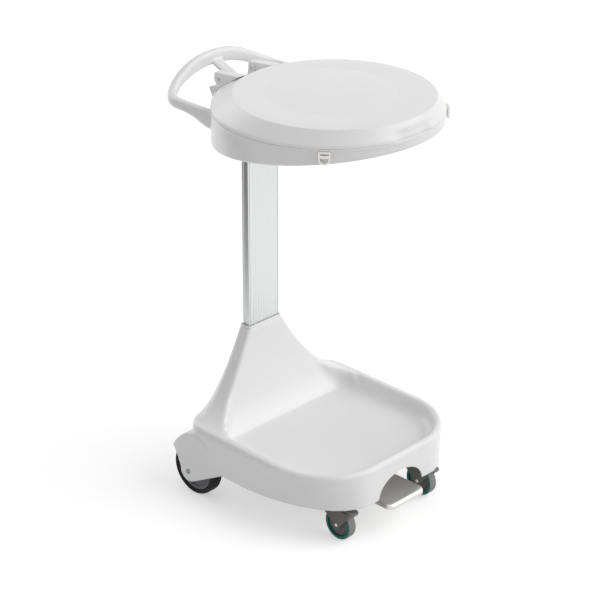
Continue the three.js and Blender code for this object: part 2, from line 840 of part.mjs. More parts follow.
function makeBrakeLever() {
  const [pinY, pinZ] = brakePivot();
  const half = forkInner - fitGap;
  const toeStart = pinY - brakeLeverLength + brakeToeLength;
  const arm = [
    [pinY + brakeLeverThickness, pinZ - brakeLeverThickness / 2],
    [pinY + brakeLeverThickness, pinZ + brakeLeverThickness / 2],
    [toeStart, pinZ + brakeLeverThickness / 2],
    [toeStart - brakeToeLength, pinZ - brakeToeDrop],
    [toeStart - brakeToeLength, pinZ - brakeToeDrop - brakeLeverThickness],
    [toeStart, pinZ - brakeLeverThickness / 2],
  ];
  const blade = alongX(polygon(arm), -half, half);
  const toe = alongX(polygon(arm.slice(2)), -brakeToeWidth / 2, brakeToeWidth / 2);
  const pin = barX(brakePinRadius, -forkOuter, forkOuter, pinY, pinZ);
  return unite(blade, toe, pin);
}

// Column, its collar, guides and screws
function columnOutline(grow) {
  const half = columnWidth / 2 + grow;
  const radius = columnCorner + grow;
  const corner = (x, y, from) => arc(x, y, radius, from, from + quarterTurnDegrees, roundSteps);
  const [front, rear] = [columnFront - grow, columnRear + grow];
  return polygon([
    ...corner(half - radius, rear - radius, 0),
    ...corner(radius - half, rear - radius, 90),
    ...corner(radius - half, front + radius, 180),
    ...corner(half - radius, front + radius, 270),
  ]);
}

function makeColumn() {
  const [front, rear] = [columnFront + columnWall, columnRear - columnWall];
  const outer = columnWidth / 2 - columnWall;
  const inner = columnChannelHalf + columnWall;
  const [from, to] = [columnBottom - overrun, columnTop + overrun];
  const channel = block(-columnChannelHalf, columnChannelHalf, front, rear, from, to);
  const chamber = block(inner, outer, front, rear, from, to);
  return cut(alongZ(columnOutline(0), columnBottom, columnTop), channel, bothSides(chamber));
}

function makeCollar() {
  const opening = alongZ(columnOutline(2 * fitGap), towerTopHeight - overrun, towerTopHeight + 2 * overrun);
  const [bottom, top] = [towerTopHeight + fitGap, towerTopHeight + collarHeight];
  return alongZ(columnOutline(collarThickness), bottom, top).subtract(opening);
}

function makeGuide(bottom) {
  const half = columnChannelHalf - fitGap;
  const front = columnFront + columnWall + fitGap;
  const body = block(-half, half, front, columnRear - columnWall - fitGap, bottom, bottom + guideHeight);
  const boreTop = bottom + guideHeight + overrun;
  return body.subtract(barZ(rodRadius + runningGap, bottom - overrun, boreTop, 0, rodY));
}

// Pedal plate: a pressed plate with turned-down sides and a rounded front lip
function makePedalPlate() {
  const side = (inset) => {
    const front = inset - pedalReach;
    const top = pedalTopHeight - inset;
    const rounding = pedalLipRounding - inset / 2;
    const nose = arc(front + rounding, top - rounding, rounding, 180, 90, smallFacets / 4);
    const bottom = pedalTopHeight - pedalLip - (inset > 0 ? overrun : 0);
    const back = pedalLength - pedalReach;
    return polygon([[front, bottom], ...nose, [back, top], [back, bottom]]);
  };
  const outer = alongX(side(0), -pedalHalfWidth, pedalHalfWidth);
  const insideHalf = pedalHalfWidth - pedalPlate;
  const inner = alongX(side(pedalPlate), -insideHalf, insideHalf);
  const rear = pedalLength - pedalReach + pedalCorner;
  const plan = (inset, from, to) => {
    const [half, front] = [pedalHalfWidth - inset, inset - pedalReach];
    const corners = { across: pedalCorner - inset, rearRadius: pedalCorner / 2, steps: smallCornerSteps };
    const shape = { half, front, rear, ...corners };
    return loft([outline(shape, from), outline(shape, to)]);
  };
  const inside = inner.intersect(plan(pedalPlate, 0, pedalTopHeight - pedalPlate));
  return outer.intersect(plan(0, 0, pedalTopHeight + overrun)).subtract(inside);
}

function makePedalLever() {
  const front = pedalPlate * 4 - pedalReach;
  const rear = rodY + rodRadius * 2;
  const bottom = leverTop - leverHeight;
  const channel = block(-leverHalfWidth, leverHalfWidth, front, rear, bottom, leverTop);
  const half = leverHalfWidth - leverWall;
  const insideTop = leverTop - leverWall;
  const inside = block(-half, half, front - overrun, rear - leverWall, bottom - overrun, insideTop);
  const axleZ = leverTop - leverHeight / 2;
  const hub = barX(pedalHubRadius, -leverHalfWidth, leverHalfWidth, pedalPivot, axleZ);
  const side = leverHalfWidth + overrun;
  const bore = barX(pedalAxleRadius + runningGap, -side, side, pedalPivot, axleZ);
  const seat = leverTop + fitGap;
  const pad = barZ(rodRadius * leverPadShare, leverTop - leverWall / 2, seat + leverWall, 0, rodY);
  return unite(channel.subtract(inside), hub, pad).subtract(bore);
}

function makePedalAxle() {
  const axleZ = leverTop - leverHeight / 2;
  const half = bracketHalfWidth + bracketPlate + wall;
  const rod = barX(pedalAxleRadius, -half, half, pedalPivot, axleZ);
  const clipFrom = bracketHalfWidth + bracketPlate + fitGap;
  const clip = barX(pedalAxleRadius * axleHeadShare, clipFrom, half - wall / 4, pedalPivot, axleZ);
  return rod.add(bothSides(clip));
}

function makePedalBracket() {
  const axleZ = leverTop - leverHeight / 2;
  const [front, rear] = [pedalPivot - bracketLength / 2, pedalPivot + bracketLength / 2];
  const cheek = new THREE.Shape();
  cheek.moveTo(rear, bracketTop);
  cheek.lineTo(front, bracketTop);
  const foot = arc(pedalPivot, axleZ, pedalHubRadius + ribThickness, 200, 340, smallFacets / 2);
  foot.forEach(([y, z]) => cheek.lineTo(y, z));
  const cheeks = bothSides(alongX(cheek, bracketHalfWidth, bracketHalfWidth + bracketPlate));
  const half = bracketHalfWidth + bracketPlate + bracketFlange;
  const top = block(-half, half, front, rear, bracketTop - bracketPlate, bracketTop);
  const bore = barX(pedalAxleRadius + fitGap, -half, half, pedalPivot, axleZ);
  return unite(cheeks, top).subtract(bore);
}

// Push rod, with a flat pad on top that carries the crank's roller
const rollerY = rodY;
const rollerZ = ringTopHeight - rollerRadius / 2;
const padTop = rollerZ - rollerRadius - fitGap;
const padRear = rodY - rodRadius + padLength;

function makePushRod() {
  const bottom = leverTop + leverWall + 3 * fitGap;
  const rod = barZ(rodRadius, bottom, padTop - padThickness / 2, 0, rodY);
  const padBottom = padTop - padThickness;
  const pad = block(-padHalfWidth, padHalfWidth, rodY - rodRadius, padRear, padBottom, padTop);
  return rod.add(pad);
}

// Bag ring: a wedge-shaped channel, shallow at the front and deep at the rear
function ringBottomAt(rise) {
  const frontZ = ringTopHeight - ringFrontHeight;
  const rearZ = ringTopHeight - ringRearHeight;
  return (y) => mix(frontZ, rearZ, (y - ringFront) / (2 * ringRadius)) + rise;
}

function ringCircle(inset, heightAt) {
  return ellipse(ringRadius - inset, ringRadius - inset, ringCentre, heightAt);
}

function ringOuter() {
  const foot = Array.from({ length: roundSteps + 1 }, (_, i) => {
    const angle = ((Math.PI / 2) * i) / roundSteps;
    const inset = ringBottomRounding * (1 - Math.sin(angle));
    return ringCircle(inset, ringBottomAt(ringBottomRounding * (1 - Math.cos(angle))));
  });
  const shoulder = ringTopHeight - wall - ringLip;
  const lip = [
    ringCircle(0, level(shoulder)),
    ringCircle(-ringLip, level(shoulder + ringLip)),
    ringCircle(-ringLip, level(ringTopHeight - ringLip)),
    ringCircle(0, level(ringTopHeight)),
  ];
  return loft([...foot, ...lip]);
}

function bagOpening(grow, bottom, top) {
  const halfWidth = ringRadius - ringSideWidth + grow;
  const halfLength = ringRadius - ringEndWidth + grow;
  return loft([bottom, top].map((z) => ellipse(halfWidth, halfLength, bagCentre, level(z))));
}

function onRing(radius, degrees) {
  const angle = THREE.MathUtils.degToRad(degrees);
  return [radius * Math.sin(angle), ringCentre - radius * Math.cos(angle)];
}

function clipMiddle(degrees) {
  const [, y] = onRing(ringRadius, degrees);
  const height = Math.min(ringTopHeight - ringBottomAt(0)(y), clipHeight * clipRoomShare);
  return ringTopHeight - height / 2;
}

function rodSlot(bottom, top) {
  const half = crankHalfWidth + crankPlate + swingGap;
  const front = rodY - rodRadius - swingGap - crankPlate;
  return block(-half, half, front, padRear + swingGap, bottom, top);
}

function makeRing() {
  const bottom = ringTopHeight - ringRearHeight - overrun;
  const outer = ringOuter();
  const channelTop = ringTopHeight - wall;
  const channel = loft([ringCircle(wall, level(bottom)), ringCircle(wall, level(channelTop))]);
  const lip = bagOpening(wall, channelTop, ringTopHeight + bagLipHeight);
  const inner = bagOpening(wall, bottom, ringTopHeight).intersect(outer);
  const opening = bagOpening(0, bottom, ringTopHeight + bagLipHeight + overrun);
  const slot = rodSlot(channelTop - 2 * rollerRadius, ringTopHeight + overrun);
  return cut(unite(outer.subtract(channel), inner, lip), opening, slot);
}

function makeBagClip(degrees) {
  const middle = clipMiddle(degrees);
  const half = clipWidth / 2;
  const top = middle + clipHeight / 2;
  const bottom = middle - clipHeight / 2 + half;
  const inside = half - clipThickness;
  const slotTop = top - clipThickness;
  const near = ringLip + fitGap;
  const back = near + clipStandoff;
  const far = back + clipThickness;
  const rim = arc(0, bottom, half, 180, 360, smallFacets / 2);
  const window = arc(0, bottom, inside, 180, 360, smallFacets / 2);
  const plate = alongY(polygon([[half, top], [-half, top], ...rim]), -far, -back);
  const slot = alongY(polygon([[inside, slotTop], [-inside, slotTop], ...window]), -far - overrun, overrun);
  const barHalf = inside + ringLip;
  const bar = block(-barHalf, barHalf, -far + ringLip, -back, middle, middle + 2 * clipKnobRadius);
  const knob = barY(clipKnobRadius, -far - ringLip, -back, 0, middle + clipKnobRadius);
  const foot = block(-half, half, -back - ringLip, -near, slotTop, top);
  const [x, y] = onRing(ringRadius, degrees);
  return unite(plate.subtract(slot), knob, bar, foot).rotate([0, 0, degrees]).translate([x, y, 0]);
}

// Head that clamps the ring on the column's top
function makeColumnHead() {
  const front = columnFront - headWall;
  const rear = columnRear + headWall;
  const half = columnWidth / 2 + headWall;
  const clamp = block(-half, half, front, rear, headTop - headDepth, headTop);
  const side = columnWidth / 2 + headFlangeReach;
  const flange = block(-side, side, front - wall, rear + wall, headTop - headFlange, headTop);
  const inside = columnWidth / 2 + fitGap;
  const [pocketFront, pocketRear] = [columnFront - fitGap, columnRear + fitGap];
  const pocketBottom = headTop - headDepth - overrun;
  const pocket = block(-inside, inside, pocketFront, pocketRear, pocketBottom, columnTop + fitGap);
  const slot = rodSlot(columnTop - overrun, headTop + overrun);
  return cut(clamp.add(flange), pocket, slot);
}

// Push handle: an oval grip along an arched loop, with a central strut
function handlePoint(share) {
  const turn = Math.PI * share;
  const reach = handleRear - handleWidth / 2 - handleBend;
  const across = Math.sign(Math.cos(turn)) * Math.abs(Math.cos(turn)) ** handleCornerShare;
  const back = Math.abs(Math.sin(turn)) ** handleCornerShare;
  const armMiddle = handleArmTop - handleArmHeight / 2;
  const rise = handleRise * (1 - across ** 2) * back;
  const y = handleBend + reach * back;
  return new THREE.Vector3(handleArmOffset * across, y, armMiddle + rise);
}

function handleSections() {
  const stepShare = 0.01;
  const loop = Array.from({ length: handleSteps + 1 }, (_, i) => {
    const share = i / handleSteps;
    const spot = handlePoint(share);
    const after = handlePoint(Math.min(share + stepShare, 1));
    const ahead = after.sub(handlePoint(Math.max(share - stepShare, 0)));
    const lift = Math.sin(Math.PI * share) ** 2;
    return { spot, ahead: ahead.setZ(0).normalize(), tall: mix(handleArmHeight, handleGripHeight, lift) };
  });
  const arm = (side) =>
    handleRootShares.map((share, i) => {
      const y = mix(ringCentre, handleBend, share);
      const tall = mix(handleArmHeight, handleRootHeight, handleRootHeightShares[i]);
      const spot = new THREE.Vector3(side * handleArmOffset, y, handleArmTop - tall / 2);
      return { spot, ahead: new THREE.Vector3(0, side, 0), tall };
    });
  return [...arm(1), ...loop, ...arm(-1).reverse()];
}

function handleRing({ spot, ahead, tall }) {
  const across = new THREE.Vector3(-ahead.y, ahead.x, 0);
  return Array.from({ length: handleSides }, (_, i) => {
    const angle = (2 * Math.PI * i) / handleSides;
    const side = Math.sign(Math.cos(angle)) * Math.abs(Math.cos(angle)) ** gripSquarenessShare;
    const up = Math.sign(Math.sin(angle)) * Math.abs(Math.sin(angle)) ** gripSquarenessShare;
    const point = spot.clone().addScaledVector(across, (side * handleWidth) / 2);
    return point.setZ(spot.z + (up * tall) / 2);
  });
}

function makeHandle() {
  const loop = loft(handleSections().map(handleRing));
  const grip = handlePoint(halfShare);
  const top = new THREE.Vector3(0, grip.y - handleWidth / 4, grip.z - strutThickness / 2);
  const foot = new THREE.Vector3(0, ringRear - wall, ringTopHeight - handleRootHeight / 2);
  const strutRing = (spot) =>
    Array.from({ length: handleSides }, (_, i) => {
      const angle = (2 * Math.PI * i) / handleSides;
      const point = spot.clone();
      point.x += (Math.cos(angle) * strutWidth) / 2;
      point.z += (Math.sin(angle) * strutThickness) / 2;
      return point;
    });
  const strut = loft([strutRing(foot), strutRing(top)].reverse());
  const ringSpace = loft([
    ringCircle(-fitGap, level(ringTopHeight - ringRearHeight - overrun)),
    ringCircle(-fitGap, level(ringTopHeight + lidWall)),
  ]);
  return unite(loop, strut).subtract(ringSpace);
}

// Hinge lugs behind the ring: a ribbed wedge with one cheek that holds the pin
function makeLug() {
  const top = hingeZ - hingeBarrelRadius * lugTopShare;
  const rear = hingeY + lugReach;
  const front = ringRear - wall * 2;
  const wedge = polygon([
    [front, top],
    [front, top - lugDrop],
    [rear - lugDrop / 2, top - lugDrop],
    [rear, top - wall / 2],
    [rear - wall, top],
  ]);
  const body = alongX(wedge, bracketInner - cheekThickness, bracketOuter);
  const pocketRear = rear - lugDrop * lugPocketShare;
  const middle = mix(front, pocketRear, lugRibShare);
  const pocket = (from, to) =>
    block(bracketInner + wall, bracketOuter + overrun, from, to, top - lugDrop + wall, top - wall);
  const cheek = new THREE.Shape();
  cheek.moveTo(hingeY - hingeBarrelRadius, top - wall);
  cheek.lineTo(hingeY + hingeBarrelRadius, top - wall);
  const eye = arc(hingeY, hingeZ, hingeBarrelRadius * cheekTopShare, 0, 180, smallFacets / 2);
  eye.forEach(([y, z]) => cheek.lineTo(y, z));
  const cheekX = bracketInner - cheekThickness;
  const arm = alongX(cheek, cheekX, bracketInner - fitGap);
  const bore = barX(hingePinRadius + fitGap, 0, bracketOuter, hingeY, hingeZ);
  const ringSpace = loft([
    ringCircle(-fitGap, level(ringTopHeight - ringRearHeight)),
    ringCircle(-fitGap, level(ringTopHeight + overrun)),
  ]);
  const pockets = [
    pocket(middle + wall / 2, pocketRear),
    pocket(hingeY - hingeBarrelRadius, middle - wall / 2),
  ];
  return cut(body.add(arm), ...pockets, bore, ringSpace);
}

function makeHingePin() {
  const inner = bracketInner - cheekThickness - ringLip;
  return barX(hingePinRadius, inner, bracketOuter + ringLip, hingeY, hingeZ);
}

// Lid: a shell from the ring's round rim up to a smaller, forward-set top with a low dome
function lidCircle(radius, centre, height) {
  return ellipse(radius, radius, centre, level(height));
}

function lidOuter() {
  const rim = ringTopHeight + 2 * fitGap;
  const crease = lidCreaseRounding;
  const dome = domeRadiusShares.map((share) =>
    lidCircle(lidDomeRadius * share, lidTopCentre, lidHeight + crease / 2 + lidDomeHeight * (1 - share ** 2)),
  );
  return loft([
    lidCircle(ringRadius, ringCentre, rim),
    lidCircle(ringRadius, ringCentre, rim + lidRimHeight - crease),
    lidCircle(ringRadius - crease / 2, ringCentre - crease / 4, rim + lidRimHeight),
    lidCircle(lidTopRadius + crease, lidTopCentre + crease / 2, lidHeight - crease),
    lidCircle(lidTopRadius, lidTopCentre, lidHeight - crease / 4),
    lidCircle(lidTopRadius - crease, lidTopCentre, lidHeight),
    lidCircle(lidDomeRadius, lidTopCentre, lidHeight + crease / 2),
    ...dome,
  ]);
}

function lidInner() {
  const rim = ringTopHeight + 2 * fitGap;
  const domeTop = lidUnderside + lidDomeHeight * domeHollowHeightShare;
  return loft([
    lidCircle(ringRadius - lidWall, ringCentre, rim - overrun),
    lidCircle(ringRadius - lidWall, ringCentre, rim + lidRimHeight - lidWall),
    lidCircle(lidTopRadius - lidWall, lidTopCentre, lidUnderside),
    lidCircle(lidDomeRadius - lidWall, lidTopCentre, lidUnderside),
    lidCircle(lidDomeRadius * domeHollowShare, lidTopCentre, domeTop),
  ]);
}

function scoopSolid(grow) {
  const geometry = new THREE.SphereGeometry(1, smallFacets * 2, smallFacets);
  geometry.rotateX(Math.PI / 2);
  const reach = scoopHeight * scoopHeightShare + grow;
  geometry.scale(scoopHalfWidth + grow, scoopDepth * 2 + grow, reach);
  const rise = ringTopHeight + scoopHeight * scoopRiseShare;
  return solidOf(geometry.translate(0, ringFront - scoopDepth, rise));
}

function hingeArmShape() {
  const lidRear = lidTopCentre + lidTopRadius;
  const shape = new THREE.Shape();
  shape.moveTo(lidRear + wall * 2, lidHeight - wall * armStartShare);
  shape.lineTo(hingeY + hingeBarrelRadius, hingeZ + hingeBarrelRadius * armCrownShare);
  const barrel = arc(hingeY, hingeZ - fitGap, hingeBarrelRadius * armBarrelShare, 0, -100, smallFacets / 2);
  barrel.forEach(([y, z]) => shape.lineTo(y, z));
  shape.lineTo(ringRear + wall, hingeZ - hingeBarrelRadius);
  shape.lineTo(ringRear - wall / 4, ringTopHeight + wall);
  shape.lineTo(ringRear - wall * 4, ringTopHeight + lidRimHeight + wall);
  return shape;
}

function makeLid() {
  const outer = lidOuter();
  const scooped = scoopSolid(0);
  const hollow = lidInner().subtract(scoopSolid(lidWall));
  const half = crankHalfWidth + wall;
  const [padFront, padRearEdge] = [crankTabFront() - wall, crankTabFront() + crankTabLength + wall];
  const padBottom = lidUnderside - crankPadThickness;
  const pad = block(-half, half, padFront, padRearEdge, padBottom, lidUnderside + lidWall / 2);
  const arms = bothSides(alongX(hingeArmShape(), bracketInner, bracketOuter));
  const side = bracketOuter + overrun;
  const bore = barX(hingePinRadius + runningGap, -side, side, hingeY, hingeZ);
  return cut(unite(outer.subtract(hollow), pad, arms), scooped, bore);
}

// Crank under the lid: two plates that reach down to the roller, tied by a tab screwed to the lid
function crankTabFront() {
  return lidTopCentre + lidTopRadius - crankTabLength - 3 * wall;
}

function makeCrank() {
  const tabTop = lidUnderside - crankPadThickness - fitGap;
  const tabFront = crankTabFront();
  const tabRear = tabFront + crankTabLength;
  const rollerEnd = arc(rollerY, rollerZ, rollerRadius - fitGap * 2, 20, -200, smallFacets / 2);
  const plate = polygon([
    ...rollerEnd,
    [tabFront, tabTop - crankPlate * 2],
    [tabFront, tabTop],
    [tabRear, tabTop],
  ]);
  const side = crankHalfWidth + crankPlate;
  const plates = bothSides(alongX(plate, crankHalfWidth, side));
  const tab = block(-side, side, tabFront, tabRear, tabTop - crankPlate, tabTop);
  const rollerBore = barX(rollerRadius / 2 + fitGap, -bracketInner, bracketInner, rollerY, rollerZ);
  return plates.add(tab).subtract(rollerBore);
}

function makeRoller() {
  const width = crankHalfWidth - fitGap;
  const roller = barX(rollerRadius, -width, width, rollerY, rollerZ);
  const side = crankHalfWidth + crankPlate;
  const pin = barX(rollerRadius / 2, -side, side, rollerY, rollerZ);
  return roller.add(pin);
}

// Assembly. Its origin is on the floor under the middle of the whole trolley.
const trolley = new THREE.Group();

function addPiece(name, solid, finish, parent = trolley) {
  const mesh = new THREE.Mesh(geometryOf(solid), finish);
  mesh.name = name;
  parent.add(mesh);
}

addPiece("base_shell", makeBase(), plasticWhite);
addPiece("column", makeColumn(), anodised);
addPiece("column_collar", makeCollar(), ringWhite);
addPiece("lower_rod_guide", makeGuide(columnBottom + fitGap), guidePlastic);
addPiece("upper_rod_guide", makeGuide(columnTop - guideHeight), guidePlastic);
addPiece("column_head", makeColumnHead(), anodised);
addPiece("bag_ring", makeRing(), ringWhite);
addPiece("push_handle", makeHandle(), ringWhite);
addPiece("pedal_bracket", makePedalBracket(), steel);
addPiece("pedal_axle", makePedalAxle(), steel);
addPiece("pedal_plate", makePedalPlate(), pedalSteel);
addPiece("pedal_lever", makePedalLever(), steel);
addPiece("push_rod", makePushRod(), steel);
addPiece("lid", makeLid(), lidWhite);
addPiece("lid_crank", makeCrank(), steel);
addPiece("crank_roller", makeRoller(), guidePlastic);

const rightLug = makeLug();
const rightPin = makeHingePin();
const rightTyre = makeRearTyre();
const rightHub = makeRearHub();
const rightAxle = makeRearAxle();
const rightCap = makeAxleCap();
const rightClips = { front: makeBagClip(clipFrontAngle), rear: makeBagClip(180 - clipRearAngle) };
for (const [side, turn] of [
  ["right", (solid) => solid],
  ["left", mirrored],
]) {
  addPiece(side + "_hinge_lug", turn(rightLug), ringWhite);
  addPiece(side + "_hinge_pin", turn(rightPin), steel);
  addPiece(side + "_rear_tyre", turn(rightTyre), tyreBlack);
  addPiece(side + "_rear_hub", turn(rightHub), hubGrey);
  addPiece(side + "_rear_axle", turn(rightAxle), steel);
  addPiece(side + "_axle_cap", turn(rightCap), capGrey);
  addPiece(side + "_front_bag_clip", turn(rightClips.front), pedalSteel);
  addPiece(side + "_rear_bag_clip", turn(rightClips.rear), pedalSteel);
}

const castorPieces = [
  ["stem", makeCastorStem(), steel],
  ["fork", makeCastorFork(), castorGrey],
  ["axle", makeCastorAxle(), steel],
  ["hub", makeCastorHub(), castorGrey],
  ["band", makeCastorBand(), bandTeal],
  ["tread", makeCastorTread(), treadGrey],
  ["brake_lever", makeBrakeLever(), castorGrey],
];
for (const [side, sign] of [
  ["right", 1],
  ["left", -1],
]) {
  const castor = new THREE.Group();
  castor.position.x = sign * castorHalfSpacing;
  for (const [name, solid, finish] of castorPieces) {
    addPiece(side + "_castor_" + name, solid, finish, castor);
  }
  trolley.add(castor);
}

trolley.position.y = -(handleRear - pedalReach) / 2;
const linenTrolley = new THREE.Group();
linenTrolley.add(trolley);

export default linenTrolley;
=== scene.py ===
"""The finished linen trolley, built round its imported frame, with a studio stage."""

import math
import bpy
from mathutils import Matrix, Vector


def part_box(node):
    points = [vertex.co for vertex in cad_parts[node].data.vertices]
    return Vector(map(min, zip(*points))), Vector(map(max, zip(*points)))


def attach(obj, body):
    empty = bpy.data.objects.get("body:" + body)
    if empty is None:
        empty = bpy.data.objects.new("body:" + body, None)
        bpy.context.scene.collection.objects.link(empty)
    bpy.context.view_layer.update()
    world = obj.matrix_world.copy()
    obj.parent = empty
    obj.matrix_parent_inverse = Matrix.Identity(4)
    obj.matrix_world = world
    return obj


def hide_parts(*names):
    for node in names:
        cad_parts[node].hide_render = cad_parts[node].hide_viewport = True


bl_info = {
    "name": "Linen Trolley",
    "version": (1, 0, 0),
    "blender": (4, 5, 0),
    "location": "View3D > Sidebar > Trolley",
    "description": "Builds the finished linen trolley and its studio stage round the packed frame",
    "category": "Object",
}

import bmesh
import bpy
from bpy.props import FloatProperty, FloatVectorProperty, IntProperty, PointerProperty
from mathutils import Matrix, Vector
from mathutils.geometry import interpolate_bezier

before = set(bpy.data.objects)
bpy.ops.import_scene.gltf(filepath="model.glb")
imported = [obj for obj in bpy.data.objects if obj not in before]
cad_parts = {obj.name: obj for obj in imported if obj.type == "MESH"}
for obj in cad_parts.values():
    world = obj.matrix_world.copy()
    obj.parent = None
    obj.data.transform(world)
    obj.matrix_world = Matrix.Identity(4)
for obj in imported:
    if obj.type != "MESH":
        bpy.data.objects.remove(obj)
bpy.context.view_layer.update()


def middle_of(node):
    low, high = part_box(node)
    return (low + high) / 2


# Lengths from front to back are counted from the line through both castor wheels
FRONT_LINE = middle_of("right_castor_axle").y


def place(x, y, z):
    return Vector((x, y + FRONT_LINE, z))


def length(name, description, default):
    return FloatProperty(
        name=name, description=description, default=default, min=0.0, precision=4,
        subtype="DISTANCE", unit="LENGTH",
    )


def angle(name, description, degrees):
    return FloatProperty(
        name=name, description=description, default=math.radians(degrees), subtype="ANGLE", unit="ROTATION"
    )


def linear(red, green, blue):
    """A colour written as 0 to 255 on screen, as the linear values a shader takes."""
    shares = (red / 255, green / 255, blue / 255)
    return tuple(v / 12.92 if v <= 0.04045 else ((v + 0.055) / 1.055) ** 2.4 for v in shares)


def colour(name, description, red, green, blue):
    return FloatVectorProperty(
        name=name, description=description, default=linear(red, green, blue), min=0.0, max=1.0,
        size=3, subtype="COLOR",
    )


# Sizes and colours


class BaseSizes(bpy.types.PropertyGroup):
    """Sizes of the base moulding, its tower and its wheel covers"""

    wall: length("Wall", "Thickness of the moulded wall", 0.004)
    half_width: length("Half width", "Half the width of the skirt at its bottom edge", 0.248)
    front_reach: length("Front reach", "From the castor line to the front of the skirt", 0.058)
    rear: length("Rear", "From the castor line to the rear face", 0.408)
    skirt_bottom: length("Skirt bottom", "Height of the skirt's bottom edge", 0.090)
    rim_height: length("Rim height", "Height of the tray's rim", 0.180)
    side_draft: length("Side draft", "How much the skirt leans in at the sides", 0.011)
    front_draft: length("Front draft", "How much the skirt leans in at the front", 0.005)
    rim_rounding: length("Rim rounding", "Radius of the rim's outer edge", 0.011)
    rim_side: length("Side rim", "Width of the rim at the sides", 0.034)
    rim_front: length("Front rim", "Width of the rim at the front", 0.026)
    rim_inner: length("Inner rounding", "Radius of the rim's inner edge", 0.005)
    corner_along: length("Corner length", "Length of the front corners at the bottom edge", 0.284)
    corner_radius: length("Corner radius", "Radius of the front corners at the rim", 0.150)
    rear_corner: length("Rear corner", "Radius of the rear corners", 0.060)
    tray_depth: length("Tray depth", "From the rim to the tray floor", 0.035)
    tray_fillet: length("Tray fillet", "Radius between the tray floor and its walls", 0.020)
    tray_slope: length("Tray slope", "How far the tray's walls lean out from floor to rim", 0.012)
    tray_back: length("Tray back", "From the rear face to the back of the tray's hollow", 0.030)
    arch_half: length("Pedal arch", "Half the width of the opening for the pedal", 0.073)
    arch_height: length("Arch height", "Height of the opening for the pedal", 0.050)
    tower_top: length("Tower top", "Height of the tower's top", 0.360)
    tower_lean: length("Tower lean", "How far the tower's foot reaches forward of its top", 0.070)
    tower_wall: length("Tower wall", "Wall round the column at the tower's top", 0.0054)
    tower_blend: length("Tower blend", "Radius between the tower's front and the tray's side walls", 0.050)
    cover_reach: length("Cover reach", "Half the width over both wheel covers", 0.254)
    cover_depth: length("Cover depth", "Width of one wheel cover", 0.060)
    cover_ear: length("Cover ear", "Radius of the cover round the axle", 0.027)
    cover_tail: length("Cover tail", "From the axle to the cover's rear tip", 0.057)
    cover_rise: length("Cover rise", "From the axle up to the cover's rear tip", 0.050)
    cover_front: length("Cover front", "From the axle to the front of the cover", 0.105)
    cover_crest: length("Cover crest", "From the axle up to the top of the cover", 0.094)
    cover_shoulder: length("Cover shoulder", "Radius of the cover's top edge", 0.012)
    cover_top: length("Cover top", "From the axle forward to the front end of the cover's top", 0.026)
    cover_wall: length("Cover wall", "Wall of the wheel covers", 0.005)
    grain: length("Fusing grain", "Grid of the fused skin", 0.003)


class TopSizes(bpy.types.PropertyGroup):
    """Sizes of the column, bag ring, lid and handle"""

    column_half: length("Column half width", "Half the width of the column", 0.0483)
    column_front: length("Column front", "From the castor line to the column's front face", 0.379)
    column_depth: length("Column depth", "Depth of the column from front to back", 0.022)
    column_bottom: length("Column bottom", "Height of the column's foot in the tower", 0.1905)
    column_top: length("Column top", "Height of the column's top in its head", 0.924)
    collar: length("Collar", "Thickness of the collar round the column", 0.006)
    ring_radius: length("Ring radius", "Outer radius of the bag ring", 0.253)
    ring_centre: length("Ring centre", "From the castor line to the ring's centre", 0.180)
    ring_top: length("Ring top", "Height of the ring's top face", 0.944)
    ring_front: length("Ring front height", "Height of the ring's wall at the front", 0.023)
    ring_rear: length("Ring rear height", "Height of the ring's wall at the rear", 0.094)
    ring_foot: length("Ring foot", "Radius of the ring's bottom edge", 0.007)
    bag_half_width: length("Bag half width", "Half the width of the bag's opening", 0.222)
    bag_half_length: length("Bag half length", "Half the length of the bag's opening", 0.205)
    bag_centre: length("Bag centre", "From the castor line to the middle of the bag's opening", 0.157)
    bag_lip: length("Bag lip", "Height of the lip round the bag's opening", 0.006)
    lid_height: length("Lid height", "Height of the lid's flat top", 0.980)
    lid_radius: length("Lid top radius", "Radius of the lid's flat top", 0.2205)
    lid_centre: length("Lid centre", "From the castor line to the centre of the lid's top", 0.1615)
    lid_wall: length("Lid wall", "Thickness of the lid", 0.0035)
    lid_rim: length("Lid rim", "Height of the lid's upright rim", 0.007)
    dome_radius: length("Dome radius", "Radius of the low dome on the lid", 0.142)
    dome_centre: length("Dome centre", "From the castor line to the middle of the dome", 0.1705)
    dome_height: length("Dome height", "Height of the low dome on the lid", 0.007)
    scoop_half: length("Scoop half width", "Half the width of the finger scoop", 0.066)
    scoop_depth: length("Scoop depth", "Depth of the finger scoop", 0.009)
    scoop_height: length("Scoop height", "Height of the finger scoop", 0.026)
    hinge_y: length("Hinge place", "From the castor line to the hinge pin", 0.452)
    hinge_z: length("Hinge height", "Height of the hinge pin", 0.954)
    arm_offset: length("Handle arm", "From the middle to each arm of the handle", 0.1675)
    arm_top: length("Arm top", "Height of the handle arms' top", 0.931)
    grip_width: length("Grip width", "Thickness of the handle from side to side", 0.0223)
    arm_height: length("Arm height", "Height of the handle's section on its arms", 0.025)
    grip_height: length("Grip height", "Height of the handle's section at the grip", 0.034)
    root_height: length("Root height", "Height of the handle's section at the ring", 0.046)
    handle_reach: length("Handle reach", "From the ring's centre to the handle's rear", 0.3695)
    handle_straight: length("Straight arms", "Length of the handle's straight arms", 0.276)
    handle_rise: length("Handle rise", "How far the grip stands above its arms", 0.0525)
    strut_width: length("Strut width", "Width of the strut between ring and grip", 0.034)
    strut_thickness: length("Strut thickness", "Thickness of the strut", 0.013)


